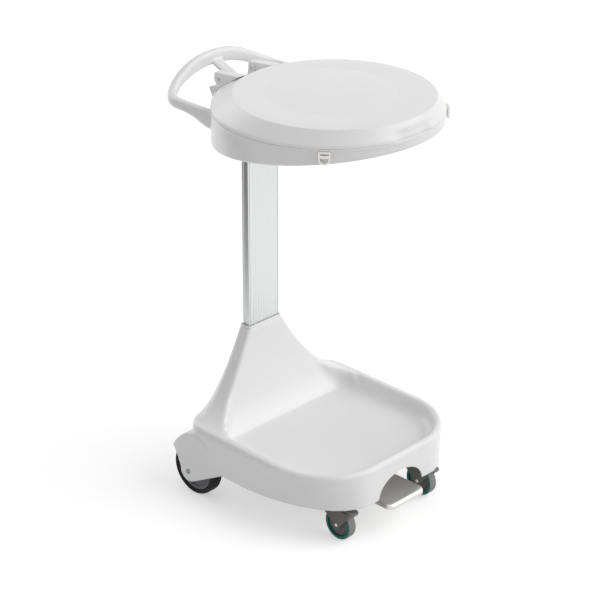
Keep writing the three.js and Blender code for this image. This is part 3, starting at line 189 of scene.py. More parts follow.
class GearSizes(bpy.types.PropertyGroup):
    """Sizes of the wheels, castors and pedal"""

    wheelbase: length("Wheelbase", "From the castor line to the rear axle", 0.375)
    rear_radius: length("Rear wheel radius", "Radius of the rear wheels", 0.064)
    rear_width: length("Rear wheel width", "Width of the rear tyres", 0.036)
    rear_track: length("Rear half track", "From the middle to each rear wheel", 0.220)
    rear_tyre: length("Tyre depth", "Depth of the rear tyres", 0.0115)
    rear_axle: length("Rear axle radius", "Radius of the rear axles", 0.006)
    castor_radius: length("Castor radius", "Radius of the castor wheels", 0.0375)
    castor_width: length("Castor width", "Width of the castor wheels", 0.022)
    castor_offset: length("Castor offset", "From the middle to each castor", 0.136)
    castor_trail: length("Castor trail", "From the wheel's axle back to the swivel", 0.027)
    castor_tread: length("Tread depth", "Depth of the castor's grey tread", 0.0016)
    castor_band: length("Band depth", "Depth of the castor's coloured band", 0.0062)
    pedal_half: length("Pedal half width", "Half the width of the pedal", 0.058)
    pedal_front: length("Pedal reach", "From the castor line to the pedal's front", 0.080)
    pedal_length: length("Pedal length", "Length of the pedal plate", 0.095)
    pedal_top: length("Pedal top", "Height of the pedal's top face", 0.079)
    pedal_lip: length("Pedal lip", "Height of the pedal's turned edges", 0.012)
    pedal_plate: length("Pedal plate", "Thickness of the pressed plate", 0.0025)
    turns: IntProperty(
        name="Turning steps", description="Steps in one turn of a turned piece", default=96, min=24
    )


class Finishes(bpy.types.PropertyGroup):
    """Colours of every finish"""

    base: colour("Base plastic", "White of the base moulding", 238, 238, 237)
    ring: colour("Ring plastic", "White of the ring and handle", 235, 235, 234)
    lid: colour("Lid plastic", "White of the lid", 239, 239, 239)
    aluminium: colour("Aluminium", "Anodised column", 136, 135, 135)
    steel: colour("Steel", "Zinc-plated steel parts", 164, 168, 170)
    pedal: colour("Pedal steel", "Warm satin steel of the pedal and clips", 244, 239, 231)
    guide: colour("Guide plastic", "Off-white plastic of guides and roller", 216, 216, 210)
    castor: colour("Castor plastic", "Dark grey of the forks", 108, 106, 105)
    castor_hub: colour("Castor hub", "Warm dark grey of the castors' hubs", 84, 80, 78)
    lever: colour("Lever plastic", "Grey of the brake levers", 132, 132, 133)
    tread: colour("Castor tread", "Grey tread of the castors", 143, 141, 139)
    band: colour("Castor band", "Green-blue band of the castors", 8, 112, 100)
    tyre: colour("Tyre rubber", "Black rubber of the rear tyres", 27, 27, 28)
    hub: colour("Hub plastic", "Dark grey of the rear hubs", 100, 100, 101)
    cap: colour("Cap plastic", "Blue-grey axle caps", 120, 148, 152)


class StageSettings(bpy.types.PropertyGroup):
    """Camera and light"""

    azimuth: angle("Azimuth", "Turn of the camera round the trolley", 45.2)
    elevation: angle("Elevation", "Height of the camera as an angle", 25.6)
    distance: length("Distance", "From the camera to the trolley's front line", 4.8009)
    side_offset: length("Side offset", "How far the castor line lies right of the camera's axis", 0.21945)
    drop: length("Drop", "How far the castor line lies below the camera's axis", 0.49027)
    lens: FloatProperty(
        name="Lens", description="Focal length on a 36 mm sensor", default=125.88, unit="CAMERA"
    )
    shift: FloatProperty(name="Shift", description="Sideways shift of the picture", default=0.0242)
    ambient: FloatProperty(name="Ambient", description="Strength of the light from all round", default=0.42)
    key: FloatProperty(name="Key", description="Strength of the main lamp", default=1.5)
    back: FloatProperty(name="Back lamp", description="Strength of the lamp behind the trolley", default=0.7)
    top: FloatProperty(name="Top softbox", description="Power of the softbox over the lid", default=0.03)
    glow: FloatProperty(name="Floor glow", description="How bright the floor is seen by itself", default=0.48)


# Drawing outlines


def mix(start, end, share):
    return start + (end - start) * share


def quarter_round(steps):
    """Steps along a quarter circle: what is left of its sine, and what is left of its cosine."""
    turns = [math.pi / 2 * i / steps for i in range(steps + 1)]
    return [(1 - math.sin(turn), 1 - math.cos(turn)) for turn in turns]


def whole_turns(steps):
    return [2 * math.pi * i / steps for i in range(steps)]


def there_and_back(points):
    """The points, then their mirror images on the other side in turn."""
    return points + [(-x, y) for x, y in reversed(points)]


def arc(x, y, radius, start, end, steps):
    """Points on an arc, both ends among them, from angles in degrees."""
    turns = [math.radians(mix(start, end, i / steps)) for i in range(steps + 1)]
    return [(x + radius * math.cos(turn), y + radius * math.sin(turn)) for turn in turns]


def level_outline(half, front, rear, across, along, rear_radius, height, front_steps=28, rear_steps=14):
    """A level outline with elliptic corners at the front and round ones at the rear."""
    corner = arc(0, 0, 1, -90, 0, front_steps)
    right = [(half - across + u * across, front + along + v * along) for u, v in corner]
    right += arc(half - rear_radius, rear - rear_radius, rear_radius, 0, 90, rear_steps)
    return [place(x, y, height) for x, y in there_and_back(right)]


RING_STEPS = 192
LID_STEPS = 256


def circle_at(radius, centre, height, steps=RING_STEPS):
    turns = whole_turns(steps)
    return [place(radius * math.cos(t), centre + radius * math.sin(t), height) for t in turns]


def rounded_box(half, front, rear, radius, height, steps):
    """A level rectangle with round corners."""
    points = arc(half - radius, rear - radius, radius, 0, 90, steps)
    points += arc(radius - half, rear - radius, radius, 90, 180, steps)
    points += arc(radius - half, front + radius, radius, 180, 270, steps)
    points += arc(half - radius, front + radius, radius, 270, 360, steps)
    return [place(x, y, height) for x, y in points]


def bezier(shares, steps):
    """Points on the curve of two ends and their two handles."""
    return interpolate_bezier(*[Vector((across, rise, 0)) for across, rise in shares], steps)


def curve_at(shares, up):
    """Reads a curve at a height, all of it in shares of the curve's size."""
    points = bezier(shares, 160)
    for low, high in zip(points, points[1:]):
        first, last = min(low.y, high.y), max(low.y, high.y)
        if first <= up <= last and last > first:
            return mix(low.x, high.x, (up - low.y) / (high.y - low.y))
    return points[0].x if abs(up - points[0].y) < abs(up - points[-1].y) else points[-1].x


# Working meshes


def add_ring(bm, points):
    """Draws a closed loop of edges. Returns its vertices."""
    verts = [bm.verts.new(point) for point in points]
    for i in range(len(verts)):
        bm.edges.new((verts[i - 1], verts[i]))
    return verts


def add_loop(bm, points):
    """Draws a closed loop of edges. Returns the edges."""
    verts = add_ring(bm, points)
    return [bm.edges.get((verts[i - 1], verts[i])) for i in range(len(verts))]


def pull_loop(bm, loop, points):
    """Extrudes a closed loop of vertices and sets the new loop on the given points."""
    edges = [bm.edges.get((loop[i - 1], loop[i])) for i in range(len(loop))]
    pulled = bmesh.ops.extrude_edge_only(bm, edges=edges)["geom"]
    fresh = {g for g in pulled if isinstance(g, bmesh.types.BMVert)}
    partners = [next(e.other_vert(v) for e in v.link_edges if e.other_vert(v) in fresh) for v in loop]
    for vert, point in zip(partners, points):
        vert.co = point
    return partners


def add_loft(bm, sections, closed=False):
    """Skins a row of loops. An open row gets a face at each end, a closed one runs round into itself."""
    first = add_ring(bm, sections[0])
    last = first
    for section in sections[1:]:
        last = pull_loop(bm, last, section)
    if closed:
        seam = pull_loop(bm, last, sections[0])
        bmesh.ops.weld_verts(bm, targetmap=dict(zip(seam, first)))
    else:
        bmesh.ops.contextual_create(bm, geom=first)
        bmesh.ops.contextual_create(bm, geom=last)


def add_prism(bm, points, offset):
    """Draws a flat face through the points and pulls it out along the offset."""
    face = bmesh.ops.contextual_create(bm, geom=add_loop(bm, points))["faces"]
    pulled = bmesh.ops.extrude_face_region(bm, geom=face)
    moved = [g for g in pulled["geom"] if isinstance(g, bmesh.types.BMVert)]
    bmesh.ops.translate(bm, verts=moved, vec=offset)


def add_box(bm, low, high):
    """A box between two corners given from the castor line."""
    low, high = place(*low), place(*high)
    size = high - low
    shape = Matrix.Translation((low + high) / 2) @ Matrix.Diagonal((*size, 1))
    bmesh.ops.create_cube(bm, size=1, matrix=shape)


def add_bar(bm, start, end, radius, steps):
    """A round bar from one point to another."""
    along = end - start
    turn = along.to_track_quat("Z", "Y").to_matrix().to_4x4()
    shape = Matrix.Translation((start + end) / 2) @ turn
    bmesh.ops.create_cone(
        bm, cap_ends=True, segments=steps, radius1=radius, radius2=radius, depth=along.length,
        matrix=shape,
    )


def add_turned(bm, profile, x, centre, steps, closed=True):
    """Turns a profile of (radius, place along X) round a level axis through the centre."""
    verts = [bm.verts.new(centre + Vector((x + along, 0, radius))) for radius, along in profile]
    pairs = list(zip(verts, verts[1:]))
    if closed:
        pairs.append((verts[-1], verts[0]))
    edges = [bm.edges.new(pair) for pair in pairs]
    bmesh.ops.spin(
        bm, geom=verts + edges, cent=centre, axis=(1, 0, 0), angle=math.tau, steps=steps, use_merge=True
    )


def round_edges(bm, edges, width, segments):
    bmesh.ops.bevel(
        bm, geom=edges, offset=width, offset_type="OFFSET", segments=segments, profile=0.5,
        affect="EDGES", clamp_overlap=True, material=-1,
    )


def ease(bm, width, limit=30, segments=2):
    """Rounds every edge that turns more than the limit."""
    sharp = [e for e in bm.edges if e.is_manifold and e.calc_face_angle(0) > math.radians(limit)]
    round_edges(bm, sharp, width, segments)


def mirror_across(bm):
    """Adds the mirror image of everything across the trolley's middle."""
    geom = list(bm.verts) + list(bm.edges) + list(bm.faces)
    copy = bmesh.ops.duplicate(bm, geom=geom)["geom"]
    verts = [g for g in copy if isinstance(g, bmesh.types.BMVert)]
    bmesh.ops.scale(bm, vec=(-1, 1, 1), verts=verts)


def working_mesh(*objects):
    """The meshes of the objects, side by side in one working mesh."""
    bm = bmesh.new()
    for obj in objects:
        bm.from_mesh(obj.data)
    return bm


def store(bm, mesh):
    bm.to_mesh(mesh)
    bm.free()


def new_object(name, bm):
    mesh = bpy.data.meshes.new(name)
    store(bm, mesh)
    made = bpy.data.objects.new(name, mesh)
    bpy.context.scene.collection.objects.link(made)
    return made


def solid_object(name, bm):
    """Turns a working mesh into an object whose faces look outward."""
    bmesh.ops.recalc_face_normals(bm, faces=bm.faces)
    return new_object(name, bm)


def lofted(name, sections, closed=False):
    """An object skinned over a row of loops."""
    bm = bmesh.new()
    add_loft(bm, sections, closed)
    return solid_object(name, bm)


def turned_piece(name, profile, x, centre, steps, closed=True):
    """An object turned from its profile. An open profile ends at the axis and is closed there."""
    bm = bmesh.new()
    add_turned(bm, profile, x, centre, steps, closed)
    if not closed:
        bmesh.ops.remove_doubles(bm, verts=bm.verts, dist=0.0002)
    return solid_object(name, bm)


def discard(obj):
    mesh = obj.data
    bpy.data.objects.remove(obj)
    bpy.data.meshes.remove(mesh)


def settle(obj):
    """Takes the object's modifiers into its mesh."""
    finished = bpy.data.meshes.new_from_object(obj.evaluated_get(bpy.context.evaluated_depsgraph_get()))
    rough = obj.data
    obj.modifiers.clear()
    obj.data = finished
    bpy.data.meshes.remove(rough)


def carve(obj, tool, operation="DIFFERENCE", overlapping=False):
    """Cuts the tool out of the object, or joins it on, and clears the tool away."""
    modifier = obj.modifiers.new("Carve", "BOOLEAN")
    modifier.operation = operation
    modifier.solver = "EXACT"
    modifier.use_self = overlapping
    modifier.object = tool
    settle(obj)
    discard(tool)


def gather(obj, other):
    """Adds another closed solid to the object, to be fused with it later."""
    store(working_mesh(obj, other), obj.data)
    discard(other)


def fuse(obj, grain, passes):
    """Fuses overlapping solids into one skin and evens it out."""
    modifier = obj.modifiers.new("Fuse", "REMESH")
    modifier.mode = "VOXEL"
    modifier.voxel_size = grain
    modifier.adaptivity = 0
    settle(obj)
    bm = working_mesh(obj)
    for _ in range(passes):
        smooth(bm, bm.verts)
    store(bm, obj.data)


def smooth(bm, verts):
    bmesh.ops.smooth_vert(bm, verts=verts, factor=0.5, use_axis_x=True, use_axis_y=True, use_axis_z=True)


EVERYWHERE = (-1.0, -1.0, 1.0)


def blend_corners(obj, depth, rings, passes, limits=EVERYWHERE):
    """Turns deep inner corners into soft fillets, within limits to the front, below and aside."""
    bm = working_mesh(obj)
    bm.normal_update()
    chosen = set()
    for vert in bm.verts:
        around = [edge.other_vert(vert).co for edge in vert.link_edges]
        hollow = sum(around, Vector()) / len(around) - vert.co
        if hollow.dot(vert.normal) > depth:
            chosen.add(vert)
    for _ in range(rings):
        chosen |= {edge.other_vert(vert) for vert in chosen for edge in vert.link_edges}
    front, low, aside = limits
    chosen = [v for v in chosen if v.co.y > front and v.co.z > low and abs(v.co.x) < aside]
    for _ in range(passes):
        smooth(bm, chosen)
    store(bm, obj.data)


def finish(name):
    return bpy.data.materials[name]


def finish_piece(obj, surface, body, nodes=(), sharp=35):
    """Shades a piece, gives it its finish and seats it on its body."""
    obj.data.shade_smooth()
    obj.data.set_sharp_from_angle(angle=math.radians(sharp))
    obj.data.materials.clear()
    obj.data.materials.append(finish(surface))
    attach(obj, body)
    if nodes:
        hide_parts(*nodes)


def eased_copy(name, node, width, surface, body):
    """A node's own shape with its edges rounded."""
    bm = working_mesh(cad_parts[node])
    bmesh.ops.remove_doubles(bm, verts=bm.verts, dist=1e-5)
    bmesh.ops.dissolve_limit(bm, angle_limit=math.radians(1), verts=bm.verts, edges=bm.edges)
    ease(bm, width)
    finish_piece(solid_object(name, bm), surface, body, [node])


# Finishes


def add_node(tree, kind, values=(), **settings):
    """Adds a shader node. Values are what its inputs hold or the sockets that feed them."""
    node = tree.nodes.new(kind)
    for setting, value in settings.items():
        setattr(node, setting, value)
    for name, value in dict(values).items():
        if isinstance(value, bpy.types.NodeSocket):
            tree.links.new(value, node.inputs[name])
        else:
            node.inputs[name].default_value = value
    return node


def maths(tree, operation, first, second=0.5, third=0.0, clamp=False):
    return add_node(
        tree, "ShaderNodeMath", {0: first, 1: second, 2: third}, operation=operation, use_clamp=clamp
    ).outputs[0]


def noise(tree, where, scale, detail):
    return add_node(
        tree, "ShaderNodeTexNoise", {"Vector": where, "Scale": scale, "Detail": detail}
    ).outputs["Fac"]


def swing(tree, value, depth, middle):
    """The middle value, moved by how far a noise strays from its own middle."""
    return maths(tree, "MULTIPLY_ADD", maths(tree, "SUBTRACT", value, 0.5), depth, middle)


def worn_edge(tree, low, high, reach):
    """Rises to its reach on outward edges."""
    point = add_node(tree, "ShaderNodeNewGeometry").outputs["Pointiness"]
    return add_node(
        tree, "ShaderNodeMapRange", {"Value": point, "From Min": low, "From Max": high, "To Max": reach}
    ).outputs["Result"]


def toned_colour(tree, start, factor):
    values = {0: start.outputs["Colour"], "Scale": factor}
    return add_node(tree, "ShaderNodeVectorMath", values, operation="SCALE").outputs[0]


def mixed_colour(tree, share, first, second):
    return add_node(tree, "ShaderNodeMix", {0: share, 6: first, 7: second}, data_type="RGBA").outputs[2]


FLOAT, COLOUR, VECTOR = "NodeSocketFloat", "NodeSocketColor", "NodeSocketVector"
SURFACE = (("Colour", COLOUR), ("Roughness", FLOAT), ("Height", FLOAT))


def new_group(name, *inputs):
    """A shader group with its named sockets. Returns the group, its input node and its pattern's place."""
    tree = bpy.data.node_groups.new(name, "ShaderNodeTree")
    for label, kind, default in inputs:
        socket = tree.interface.new_socket(name=label, in_out="INPUT", socket_type=kind)
        socket.default_value = default
    for label, kind in SURFACE:
        tree.interface.new_socket(name=label, in_out="OUTPUT", socket_type=kind)
    where = add_node(tree, "ShaderNodeTexCoord").outputs["Object"]
    return tree, tree.nodes.new("NodeGroupInput"), where


def close_group(tree, *results):
    """Leads a colour, a roughness and a height to the group's outputs."""
    end = tree.nodes.new("NodeGroupOutput")
    for (label, _), result in zip(SURFACE, results):
        tree.links.new(result, end.inputs[label])


def grained_plastic_group():
    """Moulded plastic: slow drifts of tone, a fine grain and soft wear on the edges."""
    tree, start, where = new_group(
        "Grained Plastic",
        ("Colour", COLOUR, (0.8, 0.8, 0.8, 1)),
        ("Worn Colour", COLOUR, (0.6, 0.6, 0.6, 1)),
        ("Roughness", FLOAT, 0.35),
        ("Grain Scale", FLOAT, 900.0),
        ("Drift", FLOAT, 0.04),
    )
    drift = noise(tree, where, 7.0, 3.0)
    grain = noise(tree, where, start.outputs["Grain Scale"], 2.0)
    fog = noise(tree, where, 45.0, 5.0)
    patches = maths(tree, "MULTIPLY_ADD", fog, 1.4, -0.35, clamp=True)
    worn = maths(tree, "MULTIPLY", worn_edge(tree, 0.53, 0.62, 1.0), patches, clamp=True)
    toned = toned_colour(tree, start, swing(tree, drift, start.outputs["Drift"], 1.0))
    mixed = mixed_colour(tree, maths(tree, "MULTIPLY", worn, 0.5), toned, start.outputs["Worn Colour"])
    gloss = swing(tree, fog, 0.14, start.outputs["Roughness"])
    close_group(tree, mixed, maths(tree, "MULTIPLY_ADD", worn, 0.12, gloss), grain)


def drawn_metal_group():
    """Drawn or rolled metal: fine lines along one direction, and wear on the edges."""
    tree, start, where = new_group(
        "Drawn Metal",
        ("Colour", COLOUR, (0.7, 0.7, 0.7, 1)),
        ("Stretch", VECTOR, (1.0, 1.0, 0.01)),
        ("Line Scale", FLOAT, 900.0),
        ("Line Depth", FLOAT, 0.12),
        ("Roughness", FLOAT, 0.35),
    )
    stretched = add_node(
        tree, "ShaderNodeVectorMath", {0: where, 1: start.outputs["Stretch"]}, operation="MULTIPLY"
    ).outputs[0]
    lines = noise(tree, stretched, start.outputs["Line Scale"], 3.0)
    bands = noise(tree, stretched, 130.0, 2.0)
    both = maths(tree, "MULTIPLY_ADD", bands, 0.6, maths(tree, "MULTIPLY", lines, 0.4))
    lined = swing(tree, both, start.outputs["Line Depth"], 1.0)
    toned = toned_colour(tree, start, maths(tree, "ADD", lined, worn_edge(tree, 0.52, 0.6, 0.12)))
    gloss = swing(tree, lines, 0.18, start.outputs["Roughness"])
    gloss = swing(tree, noise(tree, where, 30.0, 4.0), 0.14, gloss)
    close_group(tree, toned, gloss, lines)


def worn_rubber_group():
    """Rubber: dusty patches, a fine matt grain and paler edges."""
    tree, start, where = new_group(
        "Worn Rubber",
        ("Colour", COLOUR, (0.02, 0.02, 0.02, 1)),
        ("Dust Colour", COLOUR, (0.1, 0.1, 0.1, 1)),
        ("Dust", FLOAT, 0.3),
        ("Roughness", FLOAT, 0.6),
    )
    share = start.outputs["Dust"]
    patches = noise(tree, where, 60.0, 6.0)
    dust = maths(tree, "MULTIPLY_ADD", patches, 1.8, -0.6, clamp=True)
    pale = maths(tree, "MULTIPLY", worn_edge(tree, 0.51, 0.6, 0.6), share)
    mask = maths(tree, "ADD", maths(tree, "MULTIPLY", dust, share), pale, clamp=True)
    mixed = mixed_colour(tree, mask, start.outputs["Colour"], start.outputs["Dust Colour"])
    gloss = swing(tree, patches, 0.25, start.outputs["Roughness"])
    close_group(tree, mixed, gloss, noise(tree, where, 1500.0, 2.0))


def rings_and_painted_sheen_group():
    """Turned faces: fine turning rings, and spokes of painted sheen round a wheel's axis."""
    tree, start, where = new_group(
        "Turning Rings and Painted Sheen",
        ("Colour", COLOUR, (0.1, 0.1, 0.1, 1)),
        ("Centre", VECTOR, (0.0, 0.0, 0.0)),
        ("Sheen", FLOAT, 0.5),
        ("Roughness", FLOAT, 0.4),
    )
    offset = add_node(
        tree, "ShaderNodeVectorMath", {0: where, 1: start.outputs["Centre"]}, operation="SUBTRACT"
    ).outputs[0]
    parts = add_node(tree, "ShaderNodeSeparateXYZ", {0: offset})
    y, z = parts.outputs["Y"], parts.outputs["Z"]
    turn = maths(tree, "ARCTAN2", z, y)
    flat = add_node(tree, "ShaderNodeCombineXYZ", {"Y": y, "Z": z}).outputs[0]
    reach = add_node(tree, "ShaderNodeVectorMath", {0: flat}, operation="LENGTH").outputs["Value"]
    ring = add_node(tree, "ShaderNodeCombineXYZ", {"X": reach}).outputs[0]
    rings = noise(tree, ring, 1300.0, 1.0)
    around = add_node(
        tree, "ShaderNodeCombineXYZ", {"X": maths(tree, "COSINE", turn), "Y": maths(tree, "SINE", turn)}
    ).outputs[0]
    # The spokes are painted sheen: the colour turns lighter and darker round the axis as a radial sheen
    # would, by as much as the Sheen input gives. The rings are turning marks.
    painted_sheen_spokes = noise(tree, around, 5.0, 4.0)
    both = maths(tree, "MULTIPLY_ADD", painted_sheen_spokes, 0.7, maths(tree, "MULTIPLY", rings, 0.3))
    toned = toned_colour(tree, start, swing(tree, both, start.outputs["Sheen"], 1.0))
    close_group(tree, toned, swing(tree, both, -0.3, start.outputs["Roughness"]), rings)


def coloured_finish(name, group, values, metal=0.0, bump=0.1, depth=0.0002, specular=0.5):
    """A material whose colour, roughness and bump come from one group."""
    material = bpy.data.materials.new(name)
    material.use_nodes = True
    tree = material.node_tree
    tree.nodes.clear()
    surface = tree.nodes.new("ShaderNodeGroup")
    surface.node_tree = bpy.data.node_groups[group]
    for label, value in values.items():
        surface.inputs[label].default_value = (*value, 1) if "olour" in label else value
    shader = tree.nodes.new("ShaderNodeBsdfPrincipled")
    shader.inputs["Metallic"].default_value = metal
    shader.inputs["Specular IOR Level"].default_value = specular
    relief = add_node(
        tree, "ShaderNodeBump", {"Strength": bump, "Distance": depth, "Height": surface.outputs["Height"]}
    )
    tree.links.new(surface.outputs["Colour"], shader.inputs["Base Color"])
    tree.links.new(surface.outputs["Roughness"], shader.inputs["Roughness"])
    tree.links.new(relief.outputs["Normal"], shader.inputs["Normal"])
    end = tree.nodes.new("ShaderNodeOutputMaterial")
    tree.links.new(shader.outputs[0], end.inputs["Surface"])
    material.diffuse_color = (*values["Colour"], 1)


class TROLLEY_OT_finishes(bpy.types.Operator):
    """Mix the plastics, metals and rubbers"""

    bl_idname = "trolley.finishes"
    bl_label = "Finishes"

    def execute(self, context):
        tones = context.scene.trolley_finishes
        gear = context.scene.trolley_gear
        for make in (grained_plastic_group, drawn_metal_group, worn_rubber_group, rings_and_painted_sheen_group):
            make()

        def plastic(name, shade, rough, grain=900.0, drift=0.03, bump=0.06):
            worn = [v * 0.82 for v in shade]
            values = {"Colour": tuple(shade), "Worn Colour": tuple(worn), "Roughness": rough}
            values |= {"Grain Scale": grain, "Drift": drift}
            coloured_finish(name, "Grained Plastic", values, bump=bump)

        def metal(name, shade, rough, stretch, scale, lines, share=1.0):
            values = {"Colour": tuple(shade), "Stretch": stretch, "Line Scale": scale}
            values |= {"Line Depth": lines, "Roughness": rough}
            coloured_finish(name, "Drawn Metal", values, metal=share, bump=0.12, depth=0.0001)

        def rubber(name, shade, rough, dust):
            pale = [mix(v, 0.5, 0.25) for v in shade]
            values = {"Colour": tuple(shade), "Dust Colour": tuple(pale), "Dust": dust, "Roughness": rough}
            coloured_finish(name, "Worn Rubber", values, bump=0.2, specular=0.25)

        def turned(name, shade, rough, centre, sheen):
            values = {"Colour": tuple(shade), "Centre": centre, "Sheen": sheen, "Roughness": rough}
            coloured_finish(name, "Turning Rings and Painted Sheen", values, bump=0.1, depth=0.0001)

        plastic("base_plastic", tones.base, 0.34)
        plastic("ring_plastic", tones.ring, 0.38)
        plastic("lid_plastic", tones.lid, 0.3, bump=0.04)
        plastic("guide_plastic", tones.guide, 0.5)
        plastic("castor_plastic", tones.castor, 0.45, grain=1300.0, drift=0.2, bump=0.2)
        plastic("lever_plastic", tones.lever, 0.4, grain=1300.0, drift=0.1, bump=0.15)
        plastic("cap_plastic", tones.cap, 0.45, drift=0.1)
        metal("aluminium", tones.aluminium, 0.36, (1, 1, 0.002), 1400.0, 0.1, share=0.9)
        metal("steel", tones.steel, 0.32, (1, 1, 1), 500.0, 0.2)
        metal("pedal_steel", tones.pedal, 0.42, (0.05, 1, 1), 900.0, 0.12, share=0.05)
        rubber("tyre_rubber", tones.tyre, 0.65, 0.08)
        rubber("tread_rubber", tones.tread, 0.6, 0.2)
        rubber("band_rubber", tones.band, 0.45, 0.1)
        wheel = place(gear.rear_track, gear.wheelbase, gear.rear_radius)
        # The rear hubs carry a strong painted radial sheen in their colour, the castor hubs a faint one.
        turned("hub_plastic", tones.hub, 0.4, wheel, 1.1)
        castor = place(gear.castor_offset, 0, gear.castor_radius)
        turned("castor_hub_plastic", tones.castor_hub, 0.45, castor, 0.35)
        return {"FINISHED"}


# Base moulding


def base_section(sizes, height, inset=0.0, rear_inset=0.0):
    share = (height - sizes.skirt_bottom) / (sizes.rim_height - sizes.skirt_bottom)
    half = sizes.half_width - sizes.side_draft * share - inset
    front = sizes.front_draft * share - sizes.front_reach + inset
    along = mix(sizes.corner_along, sizes.corner_radius, share) - inset
    across = sizes.corner_radius - inset
    rear = sizes.rear - rear_inset
    return level_outline(half, front, rear, across, along, sizes.rear_corner - inset, height)


def tray_section(sizes, height, inset):
    half = sizes.half_width - sizes.side_draft - sizes.rim_side - inset
    front = sizes.front_draft - sizes.front_reach + sizes.rim_front + inset
    across = sizes.corner_radius - sizes.rim_side - inset
    rear = sizes.rear - sizes.tray_back
    return level_outline(half, front, rear, across, across, sizes.tray_fillet + sizes.wall, height)


def tray_lean(sizes, height):
    """How far the tray's wall has leaned out at a height."""
    share = (height - sizes.rim_height + sizes.tray_depth) / sizes.tray_depth
    return sizes.tray_slope * min(max(share, 0), 1)


def tray_sections(sizes, grow, steps):
    floor = sizes.rim_height - sizes.tray_depth - grow
    sections = []
    for side, rise in quarter_round(steps):
        height = floor + sizes.tray_fillet * rise
        inset = sizes.tray_fillet * side - grow - tray_lean(sizes, height + grow)
        sections.append(tray_section(sizes, height, inset))
    for drop, side in quarter_round(steps):
        height = sizes.rim_height - sizes.rim_inner * drop
        rounding = sizes.rim_inner * side * 0.7
        sections.append(tray_section(sizes, height, -grow - rounding - tray_lean(sizes, height)))
    return sections


def tray_room(sizes, grow, steps):
    """The open room in the tray, grown into its walls, as a cutting tool."""
    opening = tray_section(sizes, sizes.rim_height + 0.02, -grow)
    return lofted("tray_room", [*tray_sections(sizes, grow, steps), opening])


TOWER_SIDE = ((1, 0), (0.6, 0.07), (0.226, 0.61), (0, 1))
TOWER_FRONT = ((0, 0), (0.422, 0.053), (0.899, 0.592), (1, 1))


def tower_front(sizes, top, height):
    """Where the tower's leaning front stands at a height."""
    floor = sizes.rim_height - sizes.tray_depth
    share = max((height - floor) / (sizes.tower_top - floor), 0)
    return top.column_front - sizes.tower_wall - sizes.tower_lean * (1 - curve_at(TOWER_FRONT, share))


def tower_section(sizes, top, height, inset=0.0):
    side_share = max((height - sizes.rim_height) / (sizes.tower_top - sizes.rim_height), 0)
    spread = curve_at(TOWER_SIDE, side_share)
    foot_half = sizes.half_width - sizes.side_draft - sizes.rim_rounding - sizes.wall / 2
    half = mix(top.column_half + sizes.tower_wall, foot_half, spread) - inset
    top_edge, foot_edge, top_rear_edge = 0.006, 0.010, 0.008
    edge = mix(top_edge, foot_edge, spread) - inset / 2
    rear_edge = mix(top_rear_edge, sizes.rear_corner - sizes.rim_rounding, spread) - inset / 2
    front = tower_front(sizes, top, height) + inset
    if inset:
        return level_outline(half, front, sizes.rear - inset, edge, edge, rear_edge, height, 10, 10)
    lift = min(max((height - sizes.rim_height) / sizes.tower_blend, 0), 1)
    sweep = math.degrees(math.asin(1 - lift))
    slope, level = math.sin(math.radians(sweep)), math.cos(math.radians(sweep))
    blend = sizes.tower_blend - edge
    start = half - edge - (edge + blend) * slope
    drop = blend * (1 - level)
    right = [(start * i / 10, front) for i in range(10)]
    right += arc(start, front - blend, blend, 90, 90 - sweep, 12)
    right += arc(half - edge, front - drop + edge * level, edge, 270 - sweep, 360, 10)
    right += arc(half - rear_edge, sizes.rear - rear_edge, rear_edge, 0, 90, 10)
    left = [(-x, y) for x, y in reversed(right[1:])]
    return [place(x, y, height) for x, y in right + left]


def tray_corner(sizes, top, height):
    """The rounded fill between the tower's front and the tray's side wall, as a level outline."""
    overlap = 0.001
    front = tower_front(sizes, top, height) + overlap
    wall = sizes.half_width - sizes.side_draft - sizes.rim_side + tray_lean(sizes, height) + overlap
    start, side = front - sizes.tower_blend, wall - sizes.tower_blend
    outer, rear = wall + 0.004, front + 0.020
    points = arc(side, start, sizes.tower_blend, 90, 0, 12)
    points += [(outer, start), (outer, rear), (side, rear)]
    return [place(x, y, height) for x, y in points]


def tower_heights(sizes, bottom, top):
    bend = sizes.rim_height + sizes.tower_blend
    rise = [bottom + (sizes.rim_height - bottom) * i / 6 for i in range(6)]
    turns = [math.radians(90 * i / 20) for i in range(20)]
    rise += [sizes.rim_height + sizes.tower_blend * (1 - math.cos(turn)) for turn in turns]
    return rise + [mix(bend, top, i / 24) for i in range(25)]


def cover_outline(sizes, gear):
    """The wheel cover seen from the side, as places along Y and heights."""
    axle, height = gear.wheelbase, gear.rear_radius
    crest = height + sizes.cover_crest
    front = axle - sizes.cover_front
    peak = (axle - 0.008, crest)
    rise = [(axle + sizes.cover_tail, height + sizes.cover_rise)]
    rise += [(axle + 0.040, crest - 0.016), (axle + 0.026, crest), peak]
    fall = [peak, (axle - sizes.cover_top - 0.020, crest)]
    fall += [(front + 0.046, crest - 0.040), (front, sizes.skirt_bottom + 0.006)]
    points = [(front, sizes.skirt_bottom)]
    points += arc(axle, height, sizes.cover_ear, -112, 12, 16)
    for curve in (rise, fall):
        points += [(p.x, p.y) for p in bezier(curve, 12)[:-1]]
    return points


def trim_cover(bm, sizes, gear, inset=0.0):
    """Planes the cover's outer face to the lean of the skirt that it continues."""
    front, tail = gear.wheelbase - sizes.cover_front, gear.wheelbase + sizes.cover_tail
    start = place(sizes.half_width - 0.0005 - inset, front, sizes.skirt_bottom)
    end = place(sizes.cover_reach - 0.002 - inset, tail, sizes.skirt_bottom)
    along = end - start
    upward = Vector((-sizes.side_draft, 0, sizes.rim_height - sizes.skirt_bottom))
    outward = along.cross(upward).normalized()
    geom = list(bm.verts) + list(bm.edges) + list(bm.faces)
    cutting = bmesh.ops.bisect_plane(
        bm, geom=geom, dist=1e-6, plane_co=start, plane_no=outward, clear_outer=True
    )["geom_cut"]
    rim = [g for g in cutting if isinstance(g, bmesh.types.BMEdge)]
    if rim:
        bmesh.ops.holes_fill(bm, edges=rim, sides=0)


